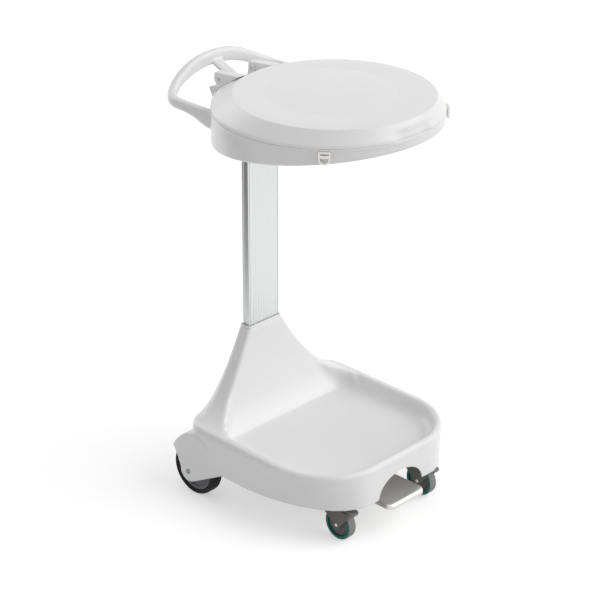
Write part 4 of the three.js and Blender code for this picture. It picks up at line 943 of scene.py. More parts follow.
def wheel_covers(sizes, gear):
    """Both wheel covers, cut free of the tray's room."""
    bm = bmesh.new()
    inner = sizes.cover_reach - sizes.cover_depth
    points = [place(inner, y, z) for y, z in cover_outline(sizes, gear)]
    add_prism(bm, points, (sizes.cover_depth, 0, 0))
    trim_cover(bm, sizes, gear)
    bmesh.ops.recalc_face_normals(bm, faces=bm.faces)
    high, low_rounding = gear.rear_radius + sizes.cover_rise + 0.004, 0.0035
    for low_side, width in ((False, sizes.cover_shoulder), (True, low_rounding)):
        ends = [f for f in bm.faces if f.normal.x > 0.8 and len(f.verts) > 8]
        rim = {e for f in ends for e in f.edges if (min(v.co.z for v in e.verts) < high) == low_side}
        round_edges(bm, list(rim), width, 5)
    mirror_across(bm)
    covers = solid_object("wheel_covers", bm)
    carve(covers, tray_room(sizes, sizes.wall / 2, 4))
    return covers


def tray_corners(sizes, top):
    bm = bmesh.new()
    low, high = sizes.rim_height - sizes.tray_depth - sizes.wall / 2, sizes.rim_height - 0.001
    shallow = low + sizes.wall / 2 + 0.0001
    heights = [mix(low, high, i / 8) for i in range(9)]
    add_loft(bm, [tray_corner(sizes, top, max(height, shallow)) for height in heights])
    mirror_across(bm)
    return solid_object("tray_corners", bm)


def base_core(sizes, top, gear):
    """The full solids of dish, tower and covers, fused into one blended skin."""
    shoulder = sizes.rim_height - sizes.rim_rounding
    outside = [base_section(sizes, mix(sizes.skirt_bottom, shoulder, i / 6)) for i in range(6)]
    for drop, side in quarter_round(10):
        height = sizes.rim_height - sizes.rim_rounding * drop
        outside.append(base_section(sizes, height, sizes.rim_rounding * side))
    core = lofted("base_moulding", outside + tray_sections(sizes, 0, 8)[::-1])
    floor = sizes.rim_height - sizes.tray_depth - sizes.wall
    heights = tower_heights(sizes, floor, sizes.tower_top)
    gather(core, lofted("tower", [tower_section(sizes, top, height) for height in heights]))
    gather(core, tray_corners(sizes, top))
    gather(core, wheel_covers(sizes, gear))
    fuse(core, sizes.grain, 4)
    foot = place(0, top.column_front - sizes.tower_lean - sizes.tower_blend, 0).y
    room = sizes.half_width - sizes.side_draft - sizes.rim_rounding - 0.002
    foot_limits = (foot, sizes.skirt_bottom + sizes.tray_depth, room)
    blend_corners(core, 0.00022, 7, 70, foot_limits)
    blend_corners(core, 0.00028, 4, 20)
    return core


# How far cutting tools reach past the faces they open
PAST = 0.005
ROUND_STEPS = 48


def wheel_wells(sizes, gear):
    """The room for both rear wheels under their covers."""
    bm = bmesh.new()
    inner = sizes.cover_reach - sizes.cover_depth + sizes.cover_wall
    outer = sizes.cover_reach - sizes.cover_wall
    clearance = 0.006
    radius = gear.rear_radius + clearance
    points = [(gear.wheelbase - radius, -PAST)]
    points += arc(gear.wheelbase, gear.rear_radius, radius, 180, 0, ROUND_STEPS)
    points += [(sizes.rear + radius, gear.rear_radius), (sizes.rear + radius, -PAST)]
    add_prism(bm, [place(inner, y, z) for y, z in points], (outer - inner, 0, 0))
    trim_cover(bm, sizes, gear, sizes.cover_wall)
    mirror_across(bm)
    return solid_object("wheel_wells", bm)


def skirt_openings(sizes, gear):
    """The front skirt's arch and the holes of the rear axle."""
    bm = bmesh.new()
    half = sizes.arch_half
    arch = [(half, -PAST), (half, 0)]
    arch += [(u * half, v * sizes.arch_height) for u, v in arc(0, 0, 1, 0, 180, ROUND_STEPS)[1:-1]]
    arch += [(-half, 0), (-half, -PAST)]
    depth = sizes.front_draft + sizes.rim_front - sizes.wall + PAST
    points = [place(x, -sizes.front_reach - PAST, sizes.skirt_bottom + z) for x, z in arch]
    add_prism(bm, points, (0, depth, 0))
    axle = place(0, gear.wheelbase, gear.rear_radius)
    for side in (Vector((1, 0, 0)), Vector((-1, 0, 0))):
        start = axle + side * (sizes.cover_reach - sizes.cover_wall - 0.002)
        end = axle + side * (sizes.cover_reach + PAST)
        add_bar(bm, start, end, gear.rear_axle + 0.0003, ROUND_STEPS)
    return solid_object("skirt_openings", bm)


def base_hollow(sizes, top, gear):
    """Everything that is empty under the skin, as one cutting tool."""
    wall = sizes.wall
    levels = (sizes.skirt_bottom - PAST, sizes.rim_height - sizes.rim_rounding)
    hollow = lofted("base_hollow", [base_section(sizes, height, wall, wall) for height in levels])
    carve(hollow, tray_room(sizes, wall, 6))
    floor = sizes.rim_height - sizes.tray_depth - 2 * wall
    heights = [mix(floor, sizes.tower_top - wall, i / 20) for i in range(21)]
    tower = lofted("tower", [tower_section(sizes, top, height, wall) for height in heights])
    for room in (tower, wheel_wells(sizes, gear), skirt_openings(sizes, gear)):
        carve(hollow, room, "UNION")
    return hollow


def base_ribs(sizes, top, gear):
    """Ribs, bosses and the column's socket under the skin."""
    bm = bmesh.new()
    wall, rib, rib_depth, gap = sizes.wall, 0.003, 0.022, 0.0003
    floor = sizes.rim_height - sizes.tray_depth
    bottom, under = floor - wall - rib_depth, floor - wall + wall / 2
    back = top.column_front - sizes.tower_wall - sizes.tower_lean
    front = sizes.front_draft - sizes.front_reach + sizes.rim_front
    for x in (0.070, -0.073):
        add_box(bm, (x, front, bottom), (x + rib, back, under))
    side = sizes.half_width - sizes.side_draft
    for share, half in ((0.26, side - 0.050), (0.72, side - 2 * wall)):
        y = mix(front, back, share)
        add_box(bm, (-half, y, bottom), (half, y + rib, under))
    ceiling = floor - wall / 2
    castor_boss, castor_level = 0.018, 0.0945
    screw_boss, screw_level = 0.007, 0.1283
    for mark in (1, -1):
        x, y = mark * gear.castor_offset, gear.castor_trail
        add_bar(bm, place(x, y, castor_level), place(x, y, ceiling), castor_boss, ROUND_STEPS)
        for y in (0.132 - 0.0167, 0.132 + 0.0167):
            x = mark * 0.037
            add_bar(bm, place(x, y, screw_level), place(x, y, ceiling), screw_boss, ROUND_STEPS // 2)
    half = top.column_half + wall
    front, rear = top.column_front, top.column_front + top.column_depth
    low, high = top.column_bottom - wall, sizes.tower_top - wall / 2
    add_box(bm, (-half, front - wall, low), (half, front - gap, high))
    add_box(bm, (-half, rear + gap, low), (half, rear + wall, high))
    for x in (-half, half - wall + gap):
        add_box(bm, (x, front - wall, low), (x + wall - gap, rear + wall, high))
    ease(bm, 0.0006)
    return solid_object("base_ribs", bm)


# Fewer mean that a cut has taken the skin away
FEWEST_POLYGONS = 20000


class TROLLEY_OT_base(bpy.types.Operator):
    """Mould the base with its tray, tower and wheel covers"""

    bl_idname = "trolley.base"
    bl_label = "Base Moulding"

    def execute(self, context):
        sizes, top, gear = context.scene.trolley_base, context.scene.trolley_top, context.scene.trolley_gear
        core = base_core(sizes, top, gear)
        carve(core, base_hollow(sizes, top, gear))
        if len(core.data.polygons) < FEWEST_POLYGONS:
            raise RuntimeError("The base moulding lost its skin")
        finish_piece(core, "base_plastic", "trolley", ["base_shell"], sharp=40)
        ribs = base_ribs(sizes, top, gear)
        finish_piece(ribs, "base_plastic", "trolley", ["base_shell"])

        reach = top.collar
        rows = [(reach - 0.0010, 0.0001), (reach - 0.0010, 0.0010), (reach, 0.0012), (reach, 0.0030)]
        rows += [(reach - 0.0005, 0.0041), (reach - 0.0014, 0.0048)]
        rows += [(0.0030, 0.0050), (0.0020, 0.0044), (0.0016, 0.0034), (0.0016, 0.0001)]
        half, front, level = top.column_half, top.column_front, sizes.tower_top
        rear = front + top.column_depth
        sections = [rounded_box(half + g, front - g, rear + g, 0.003 + g, level + z, 8) for g, z in rows]
        collar = lofted("tower_collar", sections, closed=True)
        finish_piece(collar, "base_plastic", "trolley", ["column_collar"])
        return {"FINISHED"}


# Column


class TROLLEY_OT_column(bpy.types.Operator):
    """Draw the aluminium column with its fine grooves"""

    bl_idname = "trolley.column"
    bl_label = "Column"

    def execute(self, context):
        top = context.scene.trolley_top
        half, radius = top.column_half, 0.002
        front = top.column_front
        rear = front + top.column_depth
        groove, rebate = 0.0002, 0.0012
        side = [(half, front + 0.0085), (half - rebate, front + 0.0092)]
        side += [(half - rebate, rear - 0.0058), (half, rear - 0.0051)]
        face = [(0.0457, 0), (0.0453, 0.0012), (0.0443, 0.0012), (0.0439, 0)]
        for middle in (0.036, 0.028, 0.020, 0.012, 0.004):
            face += [(middle + 0.0006, 0), (middle, groove), (middle - 0.0006, 0)]
        quarter = arc(half - radius, front + radius, radius, 270, 360, 6) + side
        quarter += arc(half - radius, rear - radius, radius, 0, 90, 6)
        back = there_and_back([(x, rear - cut) for x, cut in face])
        left = [(-x, y) for x, y in reversed(quarter)]
        near = there_and_back([(-x, front + cut) for x, cut in face])
        points = quarter + back + left + near
        bm = bmesh.new()
        loops = add_loop(bm, [place(x, y, top.column_bottom) for x, y in points])
        wall, channel = 0.0022, 0.013
        inner, outer = channel + wall, half - 2 * wall
        for low, high in ((-channel, channel), (inner, outer), (-outer, -inner)):
            corners = [(low, front + wall), (high, front + wall), (high, rear - wall), (low, rear - wall)]
            loops += add_loop(bm, [place(x, y, top.column_bottom) for x, y in corners])
        pulled = bmesh.ops.extrude_edge_only(bm, edges=loops)["geom"]
        moved = [g for g in pulled if isinstance(g, bmesh.types.BMVert)]
        upper = [g for g in pulled if isinstance(g, bmesh.types.BMEdge)]
        bmesh.ops.translate(bm, verts=moved, vec=(0, 0, top.column_top - top.column_bottom))
        bmesh.ops.triangle_fill(bm, edges=loops, use_beauty=True)
        bmesh.ops.triangle_fill(bm, edges=upper, use_beauty=True)
        column = solid_object("column_profile", bm)
        finish_piece(column, "aluminium", "trolley", ["column"], sharp=30)
        return {"FINISHED"}


# Bag ring


def ring_bottom(top, y, rise):
    share = (y - top.ring_centre + top.ring_radius) / (2 * top.ring_radius)
    return mix(top.ring_top - top.ring_front, top.ring_top - top.ring_rear, share) + rise


def slanted(top, points, rise):
    return [Vector((p.x, p.y, ring_bottom(top, p.y - FRONT_LINE, rise))) for p in points]


def oval(top, grow, height):
    across, along = top.bag_half_width + grow, top.bag_half_length + grow
    turns = whole_turns(RING_STEPS)
    return [place(across * math.cos(t), top.bag_centre + along * math.sin(t), height) for t in turns]


class TROLLEY_OT_ring(bpy.types.Operator):
    """Mould the bag ring with its slanted foot and bag lip"""

    bl_idname = "trolley.ring"
    bl_label = "Bag Ring"

    def execute(self, context):
        top = context.scene.trolley_top
        wall, lip = 0.004, 0.0012
        radius, centre, level, foot = top.ring_radius, top.ring_centre, top.ring_top, top.ring_foot
        sections = []
        for inward, upward in quarter_round(6):
            circle = circle_at(radius - foot * inward, centre, 0)
            sections.append(slanted(top, circle, foot * upward))
        shoulder = level - wall - lip
        outer = [(0, shoulder), (-lip * 0.7, shoulder + lip * 0.3), (-lip, shoulder + lip)]
        outer += [(-lip, level - lip), (-lip * 0.7, level - lip * 0.3), (0, level), (0.006, level)]
        sections += [circle_at(radius - inset, centre, z) for inset, z in outer]
        raised, soft = level + top.bag_lip, 0.0015
        rows = [(wall + soft, level), (wall, level + soft), (wall, raised - soft), (wall - lip, raised)]
        rows += [(lip, raised - 0.0001), (0, raised - lip), (0, level)]
        sections += [oval(top, grow, height) for grow, height in rows]
        sections += [slanted(top, oval(top, grow, 0), 0.001) for grow in (0, wall)]
        sections += [oval(top, wall, level - wall), circle_at(radius - wall, centre, level - wall)]
        sections.append(slanted(top, circle_at(radius - wall, centre, 0), 0.001))
        ring = lofted("bag_ring_moulding", sections, closed=True)
        bm = bmesh.new()
        add_box(bm, (-0.016, 0.380, level - wall - 0.012), (0.016, 0.421, level + 0.005))
        carve(ring, solid_object("rod_slot", bm))
        finish_piece(ring, "ring_plastic", "trolley", ["bag_ring"], sharp=35)
        return {"FINISHED"}


# Lid


def lid_sections(top, inset):
    """Loops of the lid's skin from its rim to the middle of the dome, moved in by the inset."""
    rim, soft = top.ring_top + 0.0006, 0.0024
    upper = rim + top.lid_rim
    centre, radius = top.ring_centre, top.ring_radius
    lean = (centre - 0.0004, radius - 0.0012, upper + 0.0002)
    rows = [(centre, radius, rim), (centre, radius, upper - soft)]
    rows += [(centre - 0.0001, radius - 0.0003, upper - soft * 0.45), lean]
    centre, radius, height = top.lid_centre, top.lid_radius, top.lid_height
    high = (centre + 0.0012, radius + 0.0022, height - 0.0026)
    rows += [tuple(mix(a, b, i / 14) for a, b in zip(lean, high)) for i in range(1, 15)]
    rows += [(centre + 0.0004, radius + 0.0006, height - 0.0010), (centre, radius - 0.0010, height - 0.0003)]
    rows.append((centre, radius - 0.0030, height))
    crease = height + 0.0012
    shelf, dome = (centre, radius, height), (top.dome_centre, top.dome_radius, crease)
    rows.append(tuple(mix(a, b, 0.5) for a, b in zip(shelf, dome)))
    rows.append((top.dome_centre, top.dome_radius + 0.004, crease - 0.0001))
    for share in (1, 0.98, 0.95, 0.9, 0.84, 0.76, 0.66, 0.55, 0.44, 0.33, 0.22, 0.12, 0.04):
        rows.append((top.dome_centre, top.dome_radius * share, crease + top.dome_height * (1 - share**2)))
    sections = []
    for centre, radius, height in rows:
        low = rim if height < rim + 0.0001 else height - inset
        sections.append(circle_at(max(radius - inset, 0.004), centre, max(low, rim), LID_STEPS))
    return sections


def ramp(value):
    """Rises softly from 0 to 1."""
    share = min(max(value, 0), 1)
    return share * share * (3 - 2 * share)


def press_scoop(top, sections):
    """Pushes the front of the lid in where fingers lift it."""
    for section in sections:
        for point in section:
            if point.y < place(0, top.ring_centre - top.lid_radius * 0.8, 0).y:
                side = ramp((1 - abs(point.x) / top.scoop_half) / 0.55)
                rise = ramp((1 - (point.z - top.ring_top) / top.scoop_height) / 0.85)
                point.y += top.scoop_depth * side * rise


class TROLLEY_OT_lid(bpy.types.Operator):
    """Mould the lid with its dome, finger scoop and hinge arms"""

    bl_idname = "trolley.lid"
    bl_label = "Lid"

    def execute(self, context):
        top = context.scene.trolley_top
        skin = lid_sections(top, 0)[::-1] + lid_sections(top, top.lid_wall)
        press_scoop(top, skin)
        lid = lofted("lid_moulding", skin)
        finish_piece(lid, "lid_plastic", "lid", ["lid"], sharp=30)

        bm = bmesh.new()
        y, z = top.hinge_y, top.hinge_z
        edge, rear = top.lid_centre + top.lid_radius, top.ring_centre + top.ring_radius
        points = [(edge + 0.008, top.lid_height - 0.006), (y + 0.015, z + 0.0129)]
        points += arc(y, z - 0.0003, 0.0165, 0, -100, 12)
        points += [(rear + 0.004, z - 0.015), (rear - 0.001, top.ring_top + 0.004)]
        points.append((rear - 0.016, top.ring_top + 0.011))
        for low in (0.040, -0.065):
            add_prism(bm, [place(low, a, b) for a, b in points], (0.025, 0, 0))
        ease(bm, 0.0016, limit=25, segments=3)
        arms = solid_object("lid_hinge_arms", bm)
        finish_piece(arms, "lid_plastic", "lid", ["lid"])
        return {"FINISHED"}


# Push handle


# Below 1, a round path turns squarer
HANDLE_POWER = 0.635


def squared(value, power):
    """Swells a sine or cosine, its sign kept, so that a round path turns squarer."""
    return math.copysign(abs(value) ** power, value)


def handle_point(top, share):
    turn = math.pi * share
    reach = top.handle_reach - top.grip_width / 2 - top.handle_straight
    across = squared(math.cos(turn), HANDLE_POWER)
    back = abs(math.sin(turn)) ** HANDLE_POWER
    rise = top.handle_rise * (1 - across**2) * back
    y = top.ring_centre + top.handle_straight + reach * back
    return place(top.arm_offset * across, y, top.arm_top - top.arm_height / 2 + rise)


def superellipse(spot, across, width, height, power=0.8):
    points = []
    for turn in whole_turns(24):
        side, up = squared(math.cos(turn), power), squared(math.sin(turn), power)
        points.append(spot + across * side * width / 2 + Vector((0, 0, up * height / 2)))
    return points


class TROLLEY_OT_handle(bpy.types.Operator):
    """Mould the push handle with its strut"""

    bl_idname = "trolley.handle"
    bl_label = "Push Handle"

    def execute(self, context):
        top = context.scene.trolley_top
        stations = []
        roots = [(0.0, 1.0), (0.35, 0.97), (0.6, 0.95), (0.72, 0.9)]
        roots += [(0.78, 0.66), (0.85, 0.3), (0.93, 0.08)]
        for share, tall_share in roots:
            tall = mix(top.arm_height, top.root_height, tall_share)
            y = top.ring_centre + top.handle_straight * share
            stations.append((place(top.arm_offset, y, top.arm_top - tall / 2), Vector((0, 1, 0)), tall))
        count = 72
        for i in range(count + 1):
            share = i / count
            ahead = handle_point(top, min(share + 0.008, 1)) - handle_point(top, max(share - 0.008, 0))
            ahead.z = 0
            tall = mix(top.arm_height, top.grip_height, math.sin(math.pi * share) ** 2)
            stations.append((handle_point(top, share), ahead.normalized(), tall))
        for spot, ahead, tall in reversed(stations[: len(roots)]):
            stations.append((Vector((-spot.x, spot.y, spot.z)), -ahead, tall))
        bm = bmesh.new()
        sections = []
        for spot, ahead, tall in stations:
            across = Vector((-ahead.y, ahead.x, 0))
            sections.append(superellipse(spot, across, top.grip_width, tall))
        add_loft(bm, sections)
        grip = handle_point(top, 0.5)
        high = grip + Vector((0, -top.grip_width / 4, -top.strut_thickness / 2))
        low = place(0, top.ring_centre + top.ring_radius - 0.004, top.ring_top - top.root_height / 2)
        strut = []
        for share in (0, 0.25, 0.5, 0.75, 1):
            spot = low.lerp(high, share)
            width = mix(top.strut_width, top.strut_width * 0.96, share)
            strut.append(superellipse(spot, Vector((1, 0, 0)), width, top.strut_thickness, power=0.9))
        add_loft(bm, strut)
        handle = solid_object("push_handle_moulding", bm)
        fuse(handle, 0.0021, 4)
        blend_corners(handle, 0.0002, 3, 14)
        radius = top.ring_radius + 0.0003
        levels = (top.ring_top - 0.099, top.ring_top + 0.0035)
        space = [circle_at(radius, top.ring_centre, height, LID_STEPS) for height in levels]
        carve(handle, lofted("ring_space", space))
        finish_piece(handle, "ring_plastic", "trolley", ["push_handle"], sharp=40)
        return {"FINISHED"}


# Wheels and castors


def both_sides(profile):
    """A wheel's profile and its mirror image. A point on the middle plane is taken once."""
    return profile + [(radius, -along) for radius, along in reversed(profile) if along]


def turn_parts(node, body, x, centre, steps, parts):
    """Turns the parts of one wheel, each from its own profile."""
    for kind, profile, surface, slot in parts:
        piece = turned_piece(f"{node}_{kind}_turned", profile, x, centre, steps)
        finish_piece(piece, surface, body, [f"{node}_{kind}"], sharp=30)


class TROLLEY_OT_rear_wheels(bpy.types.Operator):
    """Turn the rear wheels with their tyres, hubs and caps"""

    bl_idname = "trolley.rear_wheels"
    bl_label = "Rear Wheels"

    def execute(self, context):
        gear = context.scene.trolley_gear
        base = context.scene.trolley_base
        axle = place(0, gear.wheelbase, gear.rear_radius)
        outer, half = gear.rear_radius, gear.rear_width / 2
        inner = outer - gear.rear_tyre
        shoulder = gear.rear_tyre / 3
        tyre = [(inner, 0.004 - half), (inner + 0.002, 0.0024 - half), (outer - shoulder * 1.7, -half)]
        tyre += [(outer - shoulder, 0.0012 - half), (outer - shoulder * 0.45, 0.0031 - half)]
        tyre += [(outer - shoulder * 0.15, 0.0055 - half), (outer, 0.0088 - half)]
        tyre += [(outer, -0.0016), (outer - 0.0012, -0.0008), (outer - 0.0012, 0)]
        rim, width = inner - 0.0003, 0.013
        hub = [(0.0063, -width), (0.012, -width), (0.0128, 0.0012 - width), (0.0155, -0.0066)]
        hub += [(0.0175, -0.0060), (rim - 0.0115, -0.0062), (rim - 0.0085, -0.0070)]
        hub += [(rim - 0.0065, 0.0012 - width), (rim - 0.0058, -width), (rim - 0.0006, -width)]
        hub.append((rim, 0.0006 - width))
        cap = [(0.0001, 0.0002), (0.003, 0.0002), (0.0033, -0.0003), (0.0042, -0.0003), (0.0045, 0.0002)]
        cap += [(0.0052, 0.0001), (0.0057, -0.0004), (0.0057, -0.0018), (0.0001, -0.0018)]
        parts = [("tyre", both_sides(tyre), "tyre_rubber", "tyre")]
        parts.append(("hub", both_sides(hub), "hub_plastic", "hub_plastic"))
        for side, mark in (("right", 1), ("left", -1)):
            x = mark * gear.rear_track
            turn_parts(side + "_rear", side + "_rear_wheel", x, axle, gear.turns, parts)
            points = [(radius, mark * (base.cover_reach + 0.0010 + along)) for radius, along in cap]
            piece = turned_piece(side + "_axle_cap_turned", points, 0, axle, 48, closed=False)
            finish_piece(piece, "cap_plastic", "trolley", [side + "_axle_cap"])
        return {"FINISHED"}


CASTOR_CLEARANCE = 0.003


def castor_fork(gear):
    """Fork of one castor, drawn about the middle of its wheel."""
    inner = gear.castor_width / 2 + 0.0012
    outer = inner + 0.003
    head_bottom = 2 * gear.castor_radius + CASTOR_CLEARANCE
    head_top = head_bottom + 0.0117
    trail, head_radius = gear.castor_trail, 0.021
    leg = arc(0, gear.castor_radius, 0.0105, -128, 10, 12)
    reach = head_radius * 0.86
    leg += [(trail + reach, head_bottom - 0.012), (trail + reach, head_bottom + 0.004)]
    leg += [(trail - reach, head_bottom + 0.004), (trail - reach, head_bottom)]
    leg += [(-0.031, head_bottom - 0.0005), (-0.0325, head_bottom - 0.003)]
    leg += [(-0.0325, 0.064), (-0.029, 0.059)]
    bm = bmesh.new()
    for x in (inner, -outer):
        add_prism(bm, [place(x, y, z) for y, z in leg], (outer - inner, 0, 0))
    ease(bm, 0.0008, limit=25)
    rows = [(0.0206, 0), (head_radius, 0.0006), (head_radius, 0.0052), (0.0206, 0.0064)]
    rows += [(0.0196, 0.0088), (0.0172, 0.0108), (0.0155, 0.0116), (0.0148, 0.0117)]
    head = []
    for radius, height in rows:
        points = arc(0, 0, radius, 0, 360, 48)[:-1]
        head.append([place(x, trail + y, head_bottom + height) for x, y in points])
    add_loft(bm, head)
    add_box(bm, (-outer, trail - reach, head_bottom), (outer, trail + 0.0126, head_bottom + 0.003))
    fork = solid_object("fork", bm)
    bm = bmesh.new()
    room = place(0, 0, gear.castor_radius)
    side = Vector((inner, 0, 0))
    add_bar(bm, room - side, room + side, gear.castor_radius + 0.0012, 64)
    add_box(bm, (-inner, -0.058, head_bottom - 0.003), (inner, 0.0155, head_top + 0.005))
    return fork, solid_object("fork_room", bm)


def brake_lever(gear, x):
    """The castor's foot brake: a flat blade with a rounded toe, on its pin."""
    inner = gear.castor_width / 2 + 0.0009
    bottom = 2 * gear.castor_radius + CASTOR_CLEARANCE
    pivot = gear.castor_trail - 0.0175, bottom + 0.003
    blade = [(0.003, -0.0015), (0.003, 0.0015), (-0.040, 0.0015)]
    blade += [(-0.058, -0.0025), (-0.058, -0.0050), (-0.040, -0.0015)]
    bm = bmesh.new()
    add_prism(bm, [place(x - inner, pivot[0] + y, pivot[1] + z) for y, z in blade], (2 * inner, 0, 0))
    bmesh.ops.recalc_face_normals(bm, faces=bm.faces)
    toe = place(0, pivot[0] - 0.057, 0).y
    ahead = [e for e in bm.edges if all(v.co.y < toe for v in e.verts)]
    corners = [e for e in ahead if abs(e.verts[0].co.x - e.verts[1].co.x) < 1e-5]
    round_edges(bm, corners, 0.0105, 8)
    ease(bm, 0.0006)
    pin = place(x, *pivot)
    outer = Vector((inner + 0.0033, 0, 0))
    add_bar(bm, pin - outer, pin + outer, 0.0025, 24)
    return solid_object("lever", bm)


class TROLLEY_OT_castors(bpy.types.Operator):
    """Build both braked castors"""

    bl_idname = "trolley.castors"
    bl_label = "Castors"

    def execute(self, context):
        gear = context.scene.trolley_gear
        radius, half = gear.castor_radius, gear.castor_width / 2
        centre = place(0, 0, radius)
        inner = radius - gear.castor_tread
        tread = [(inner, 0.0006 - half), (radius - 0.0012, 0.0006 - half), (radius - 0.0006, 0.0012 - half)]
        tread += [(radius - 0.0002, 0.0024 - half), (radius, 0.0042 - half), (radius, 0)]
        edge = inner - 0.0003
        low = edge - gear.castor_band
        band = [(low, 0.0004 - half), (low + 0.0006, -half), (edge - 0.0008, -half), (edge, 0.0007 - half)]
        rim = low - 0.0003
        hub = [(0.0033, -half), (0.0068, -half), (0.0072, 0.0004 - half), (0.0080, 0.0020 - half)]
        hub += [(0.0105, 0.0022 - half), (rim - 0.0050, 0.0022 - half), (rim - 0.0040, 0.0030 - half)]
        hub += [(rim - 0.0020, 0.0030 - half), (rim - 0.0015, 0.0050 - half), (rim, 0.0050 - half)]
        parts = [("tread", both_sides(tread), "tread_rubber", "castor_tread")]
        parts.append(("band", both_sides(band), "band_rubber", "castor_band"))
        parts.append(("hub", both_sides(hub), "castor_hub_plastic", "castor_plastic"))
        outer = half + 0.0042
        dome = [(0.0001, 0.0014), (0.0016, 0.0013), (0.0028, 0.0010), (0.0038, 0.0004)]
        dome += [(0.0042, -0.0002), (0.0042, -0.0012), (0.0030, -0.0012)]
        bolt = both_sides([(radius, outer + along) for radius, along in dome])
        for side, mark in (("right", 1), ("left", -1)):
            x = mark * gear.castor_offset
            swivel = side + "_castor"
            turn_parts(swivel, side + "_castor_wheel", x, centre, gear.turns, parts)
            fork, room = castor_fork(gear)
            carve(fork, room, overlapping=True)
            fork.data.transform(Matrix.Translation((x, 0, 0)))
            fork.name = side + "_castor_fork_moulded"
            finish_piece(fork, "castor_plastic", swivel, [side + "_castor_fork"])
            piece = turned_piece(side + "_castor_bolt", bolt, x, centre, 40, closed=False)
            finish_piece(piece, "steel", swivel, [side + "_castor_axle"])
            lever = brake_lever(gear, x)
            lever.name = side + "_castor_pedal"
            node = side + "_castor_brake_lever"
            finish_piece(lever, "lever_plastic", side + "_brake", [node])
            socket, stem = side + "_castor_socket", side + "_castor_stem"
            eased_copy(socket, stem, 0.0006, "steel", "trolley")
        return {"FINISHED"}


# Pedal


class TROLLEY_OT_pedal(bpy.types.Operator):
    """Press the pedal plate with its rounded lip"""

    bl_idname = "trolley.pedal"
    bl_label = "Pedal"

    def execute(self, context):
        gear = context.scene.trolley_gear
        half, front, top = gear.pedal_half, -gear.pedal_front, gear.pedal_top
        rear = front + gear.pedal_length
        corner, side_edge, nose = 0.014, 0.0022, 0.0075

        def row(inset_share, drop_share):
            points = []
            for turn_x, turn_y in arc(0, 0, 1, 180, 270, 12):
                face = abs(turn_y)
                edge = mix(side_edge, nose, face)
                x = -(half - corner) + turn_x * (corner - edge * inset_share)
                y = front + corner + turn_y * (corner - edge * inset_share)
                points.append((x, y, top - edge * drop_share))
            left = [(points[0][0], rear, points[0][2]), *points]
            right = [(-x, y, z) for x, y, z in reversed(left)]
            return [place(*point) for point in left + right]

        rows = [row(*shares) for shares in quarter_round(6)]
        skirt = [Vector((p.x, p.y, top - gear.pedal_lip)) for p in rows[-1]]
        bm = bmesh.new()
        loops = [[bm.verts.new(point) for point in points] for points in [*rows, skirt]]
        strips = [[bm.edges.new(pair) for pair in zip(loop, loop[1:])] for loop in loops]
        for first, second in zip(strips, strips[1:]):
            bmesh.ops.bridge_loops(bm, edges=first + second)
        bm.edges.new((loops[0][0], loops[0][-1]))
        bmesh.ops.contextual_create(bm, geom=loops[0])
        bmesh.ops.recalc_face_normals(bm, faces=bm.faces)
        if max(bm.faces, key=lambda f: f.calc_area()).normal.z < 0:
            bmesh.ops.reverse_faces(bm, faces=bm.faces)
        plate = solid_shell("pedal_pressing", bm, gear.pedal_plate)
        finish_piece(plate, "pedal_steel", "pedal", ["pedal_plate"], sharp=30)
        eased_copy("pedal_channel", "pedal_lever", 0.0006, "steel", "pedal")
        eased_copy("pedal_bracket_plate", "pedal_bracket", 0.0006, "steel", "trolley")
        eased_copy("pedal_axle_rod", "pedal_axle", 0.0004, "steel", "trolley")
        return {"FINISHED"}


def solid_shell(name, bm, thickness):
    """Gives an open skin its wall, inwards from its outer face."""
    made = new_object(name, bm)
    modifier = made.modifiers.new("Wall", "SOLIDIFY")
    modifier.thickness = thickness
    modifier.offset = -1
    modifier.use_even_offset = True
    settle(made)
    return made


# Hinge, clips and other small parts


def dress_node(name, surface):
    """Gives its finish to a node that keeps its own shape."""
    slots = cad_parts[name].data.materials
    slots.clear()
    slots.append(finish(surface))


class TROLLEY_OT_fittings(bpy.types.Operator):
    """Dress the head, hinge, clips, rod and guides"""

    bl_idname = "trolley.fittings"
    bl_label = "Fittings"

    def execute(self, context):
        eased_copy("head_casting", "column_head", 0.001, "aluminium", "trolley")
        for side in ("left", "right"):
            lug = side + "_hinge_lug"
            eased_copy(side + "_lug_moulding", lug, 0.0008, "ring_plastic", "trolley")
            eased_copy(side + "_hinge_pin_rod", side + "_hinge_pin", 0.0005, "steel", "trolley")
            for end in ("front", "rear"):
                node = f"{side}_{end}_bag_clip"
                eased_copy(node + "_pressing", node, 0.0006, "pedal_steel", "trolley")
            dress_node(side + "_rear_axle", "steel")
        eased_copy("crank_plates", "lid_crank", 0.0004, "steel", "lid")
        eased_copy("roller_turned", "crank_roller", 0.0005, "guide_plastic", "lid")
        dress_node("push_rod", "steel")
        dress_node("lower_rod_guide", "guide_plastic")
        dress_node("upper_rod_guide", "guide_plastic")
        return {"FINISHED"}


# Stage


def seen_directly(tree):
    """1 for rays from the camera and off shiny or through clear faces, 0 for all others."""
    path = tree.nodes.new("ShaderNodeLightPath")
    seen = maths(tree, "ADD", path.outputs["Is Camera Ray"], path.outputs["Is Glossy Ray"], clamp=True)
    return maths(tree, "ADD", seen, path.outputs["Is Transmission Ray"], clamp=True)


def hang_lamp(name, kind, energy, toward, spot=(0, 0, 0)):
    """Hangs a lamp that shines from the side given. Returns its settings."""
    lamp = bpy.data.lights.new(name, kind)
    lamp.energy = energy
    hung = bpy.data.objects.new(name, lamp)
    hung.location = spot
    hung.rotation_euler = toward.to_track_quat("Z", "Y").to_euler()
    bpy.context.scene.collection.objects.link(hung)
    return lamp


